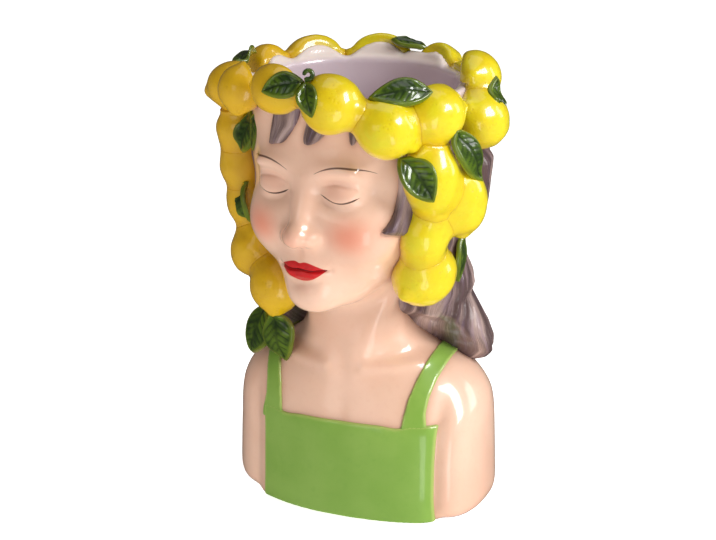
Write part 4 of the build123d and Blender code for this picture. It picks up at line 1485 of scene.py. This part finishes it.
    # values for the glaze, by nearest ring vertex (welding keeps the order of what stays)
    R_ = np.concatenate([step(e, 3.3, 1.2), np.ones((nu, n - nv))], 1).reshape(-1)
    V_ = np.concatenate([np.maximum(side, midrib), np.zeros((nu, n - nv))], 1).reshape(-1)
    R_, V_ = np.append(R_, [1, 1]), np.append(V_, [0, 0])
    if len(ob.data.vertices) == len(R_):
        attribute(ob, "rim", R_)
        attribute(ob, "vein", V_)
    else:
        from mathutils import kdtree
        kd = kdtree.KDTree(len(verts))
        for i, c in enumerate(verts):
            kd.insert(tuple(c), i)
        kd.balance()
        idx = [kd.find(tuple(c))[1] for c in coords(ob)]
        attribute(ob, "rim", R_[idx])
        attribute(ob, "vein", V_[idx])
    return place(ob, [name], MAT_LEAF)


for i, row in enumerate(LEAVES):
    leaf_piece(row, i)


# ------------------------------------------------------------------ curled stalk and stopper
def tube(name, pts, radii, sides=14):
    pts = np.array(pts, float)
    tan = np.gradient(pts, axis=0)
    tan /= np.linalg.norm(tan, axis=1)[:, None]
    up = np.cross(tan[0], [0.2, 0.3, 0.9])
    V = []
    for i, c in enumerate(pts):
        up = up - tan[i] * (up @ tan[i])
        up /= np.linalg.norm(up)
        sd = np.cross(tan[i], up)
        for k in range(sides):
            a = 2 * math.pi * k / sides
            V.append(c + radii[i] * (math.cos(a) * up + math.sin(a) * sd))
    F = []
    n = len(pts)
    for i in range(n - 1):
        for k in range(sides):
            j = (k + 1) % sides
            F.append((i * sides + k, i * sides + j, (i + 1) * sides + j, (i + 1) * sides + k))
    V.append(pts[0] - tan[0] * radii[0] * 0.7)
    V.append(pts[-1] + tan[-1] * radii[-1] * 0.7)
    for k in range(sides):
        j = (k + 1) % sides
        F.append((j, k, n * sides))
        F.append(((n - 1) * sides + k, (n - 1) * sides + j, n * sides + 1))
    ob = make(name, np.array(V), F)
    tidy(ob, 0.001)
    return ob


curl_c, curl_n = np.array([5.1, -94.5, 310.2]), np.array([.42, -.85, .2])
curl_n /= np.linalg.norm(curl_n)
cx = np.cross([0, 0, 1.0], curl_n)
cx /= np.linalg.norm(cx)
cy = np.cross(curl_n, cx)
turns = np.linspace(math.radians(-120), math.radians(175), 60)
pts = [curl_c + (3.0 - 0.6 * (i / 59)) * (math.cos(a) * cx + math.sin(a) * cy) + curl_n * (0.9 * i / 59) for i, a in enumerate(turns)]
rad = [1.75 - 0.45 * (i / 59) for i in range(60)]
curl = tube("stalk_curl_form", pts, rad)
attribute(curl, "rim", np.full(len(curl.data.vertices), 0.12))
attribute(curl, "vein", np.full(len(curl.data.vertices), 0.35))
place(curl, ["stalk_curl"], MAT_LEAF)


def lathe(name, profile, segs=72):
    V, F = [], []
    for r_, z_ in profile:
        for k in range(segs):
            a = 2 * math.pi * k / segs
            V.append((r_ * math.cos(a), r_ * math.sin(a), z_))
    n = len(profile)
    for i in range(n - 1):
        for k in range(segs):
            j = (k + 1) % segs
            F.append((i * segs + k, i * segs + j, (i + 1) * segs + j, (i + 1) * segs + k))
    V += [(0, 0, profile[0][1]), (0, 0, profile[-1][1])]
    for k in range(segs):
        j = (k + 1) % segs
        F.append((j, k, n * segs))
        F.append(((n - 1) * segs + k, (n - 1) * segs + j, n * segs + 1))
    ob = make(name, np.array(V), F)
    tidy(ob, 0.001)
    return ob


def fillet(points, r):
    """Profile with each inner corner rounded."""
    out = [points[0]]
    for i in range(1, len(points) - 1):
        a, b, c = (np.array(points[j], float) for j in (i - 1, i, i + 1))
        la, lc = np.linalg.norm(a - b), np.linalg.norm(c - b)
        k = min(r, la * 0.45, lc * 0.45)
        s_, e_ = b + (a - b) / la * k, b + (c - b) / lc * k
        for t_ in np.linspace(0, 1, 6):
            out.append(tuple((1 - t_) ** 2 * s_ + 2 * t_ * (1 - t_) * b + t_ ** 2 * e_))
    out.append(points[-1])
    return out


plug = lathe("drain_stopper_form", fillet([(5.0, 1.35), (5.6, 0.8), (13.0, 0.8), (13.0, 2.65), (8.65, 2.65), (8.65, 5.2), (8.95, 5.9), (8.65, 6.6),
                                           (8.65, 10.0), (7.5, 11.2), (4.0, 11.2), (4.0, 8.2), (1.0, 8.0)], 0.5))
plug.data.polygons.foreach_set("use_smooth", [True] * len(plug.data.polygons))
place(plug, ["drain_stopper"], MAT_RUBBER, "stopper")


# ------------------------------------------------------------------ floor, light, camera
def stage_floor():
    bm = bmesh.new()
    s_ = 6.0
    vs = [bm.verts.new(c) for c in ((-s_, -s_, 0), (s_, -s_, 0), (s_, s_, 0), (-s_, s_, 0))]
    bm.faces.new(vs)
    me = bpy.data.meshes.new("floor")
    bm.to_mesh(me)
    bm.free()
    ob = bpy.data.objects.new("floor", me)
    bpy.context.scene.collection.objects.link(ob)
    m = Mat("floor_paper").set(Roughness=0.9, Specular_IOR_Level=0.1)
    c = m.mix(m.noise(3.0, 2).ramp(0.4, 0.6) * 0.3, srgb(0.97, 0.97, 0.97), srgb(0.96, 0.96, 0.965))
    m.colour(c)
    m.nt.links.new(c, m.b.inputs["Emission Color"])
    m.set(Emission_Strength=0.85)
    ob.data.materials.append(m.mat)
    ob.visible_glossy = False      # a dark table to the glaze, a pale one to the eye
    return ob


stage_floor()


def softbox(name, loc, aim, w, h, power, colour=(1, 1, 1)):
    li = bpy.data.lights.new(name, "AREA")
    li.shape = "RECTANGLE"
    li.size, li.size_y = w, h
    li.energy = power
    li.color = colour
    ob = bpy.data.objects.new(name, li)
    ob.location = loc
    d = Vector(aim) - Vector(loc)
    ob.rotation_euler = d.to_track_quat("-Z", "Y").to_euler()
    bpy.context.scene.collection.objects.link(ob)
    return ob


RIGHT = Vector((0.906, 0.423, 0))
TOWARD = Vector((0.423, -0.906, 0))


def spot(r, t, z):
    v = RIGHT * r + TOWARD * t
    return (v.x, v.y, z)


softbox("key", spot(1.10, 0.66, 0.95), (0.0, 0.0, 0.17), 0.50, 0.62, 15.5)
softbox("window", spot(1.30, -0.15, 0.55), (0.0, 0.0, 0.20), 0.35, 0.7, 3)
softbox("fill", spot(-0.9, 1.4, 0.6), (0.0, 0.0, 0.17), 0.7, 0.7, 1.2)
softbox("top", (0.0, 0.15, 1.5), (0.0, 0.0, 0.2), 1.0, 1.0, 2.5)
softbox("card", spot(0.16, 0.55, 0.006), (0.02, 0.0, 0.10), 0.16, 0.34, 0.35)

world = bpy.data.worlds.new("studio")
bpy.context.scene.world = world
world.use_nodes = True
wn = world.node_tree
bg = wn.nodes["Background"]
lp = wn.nodes.new("ShaderNodeLightPath")
mx = wn.nodes.new("ShaderNodeMix")
mx.data_type = "FLOAT"
mx.inputs[2].default_value, mx.inputs[3].default_value = 0.33, 0.06
wn.links.new(lp.outputs["Is Glossy Ray"], mx.inputs[0])
my = wn.nodes.new("ShaderNodeMix")
my.data_type = "FLOAT"
my.inputs[3].default_value = 1.0
wn.links.new(lp.outputs["Is Camera Ray"], my.inputs[0])
wn.links.new(mx.outputs[0], my.inputs[2])
wn.links.new(my.outputs[0], bg.inputs["Strength"])
tint = wn.nodes.new("ShaderNodeMix")
tint.data_type = "RGBA"
tint.inputs[6].default_value, tint.inputs[7].default_value = (1.0, 0.90, 0.83, 1), (1, 1, 1, 1)
wn.links.new(lp.outputs["Is Camera Ray"], tint.inputs[0])
wn.links.new(tint.outputs[2], bg.inputs["Color"])

cam = bpy.data.cameras.new("camera")
cam.sensor_fit = "HORIZONTAL"
cam.sensor_width = 36.0
cam.lens = 2412.0 / 716.0 * 36.0
cam.shift_x, cam.shift_y = -0.0098, 0.0098
co = bpy.data.objects.new("camera", cam)
eye = Vector((0.6551 + AXIS[0], -1.4048 + AXIS[1], 0.650))
aim = Vector((AXIS[0], AXIS[1], 0.150))
co.location = eye
co.rotation_euler = (aim - eye).to_track_quat("-Z", "Y").to_euler()
bpy.context.scene.collection.objects.link(co)
bpy.context.scene.camera = co
bpy.context.scene.view_settings.view_transform = "Standard"
bpy.context.scene.view_settings.look = "None"
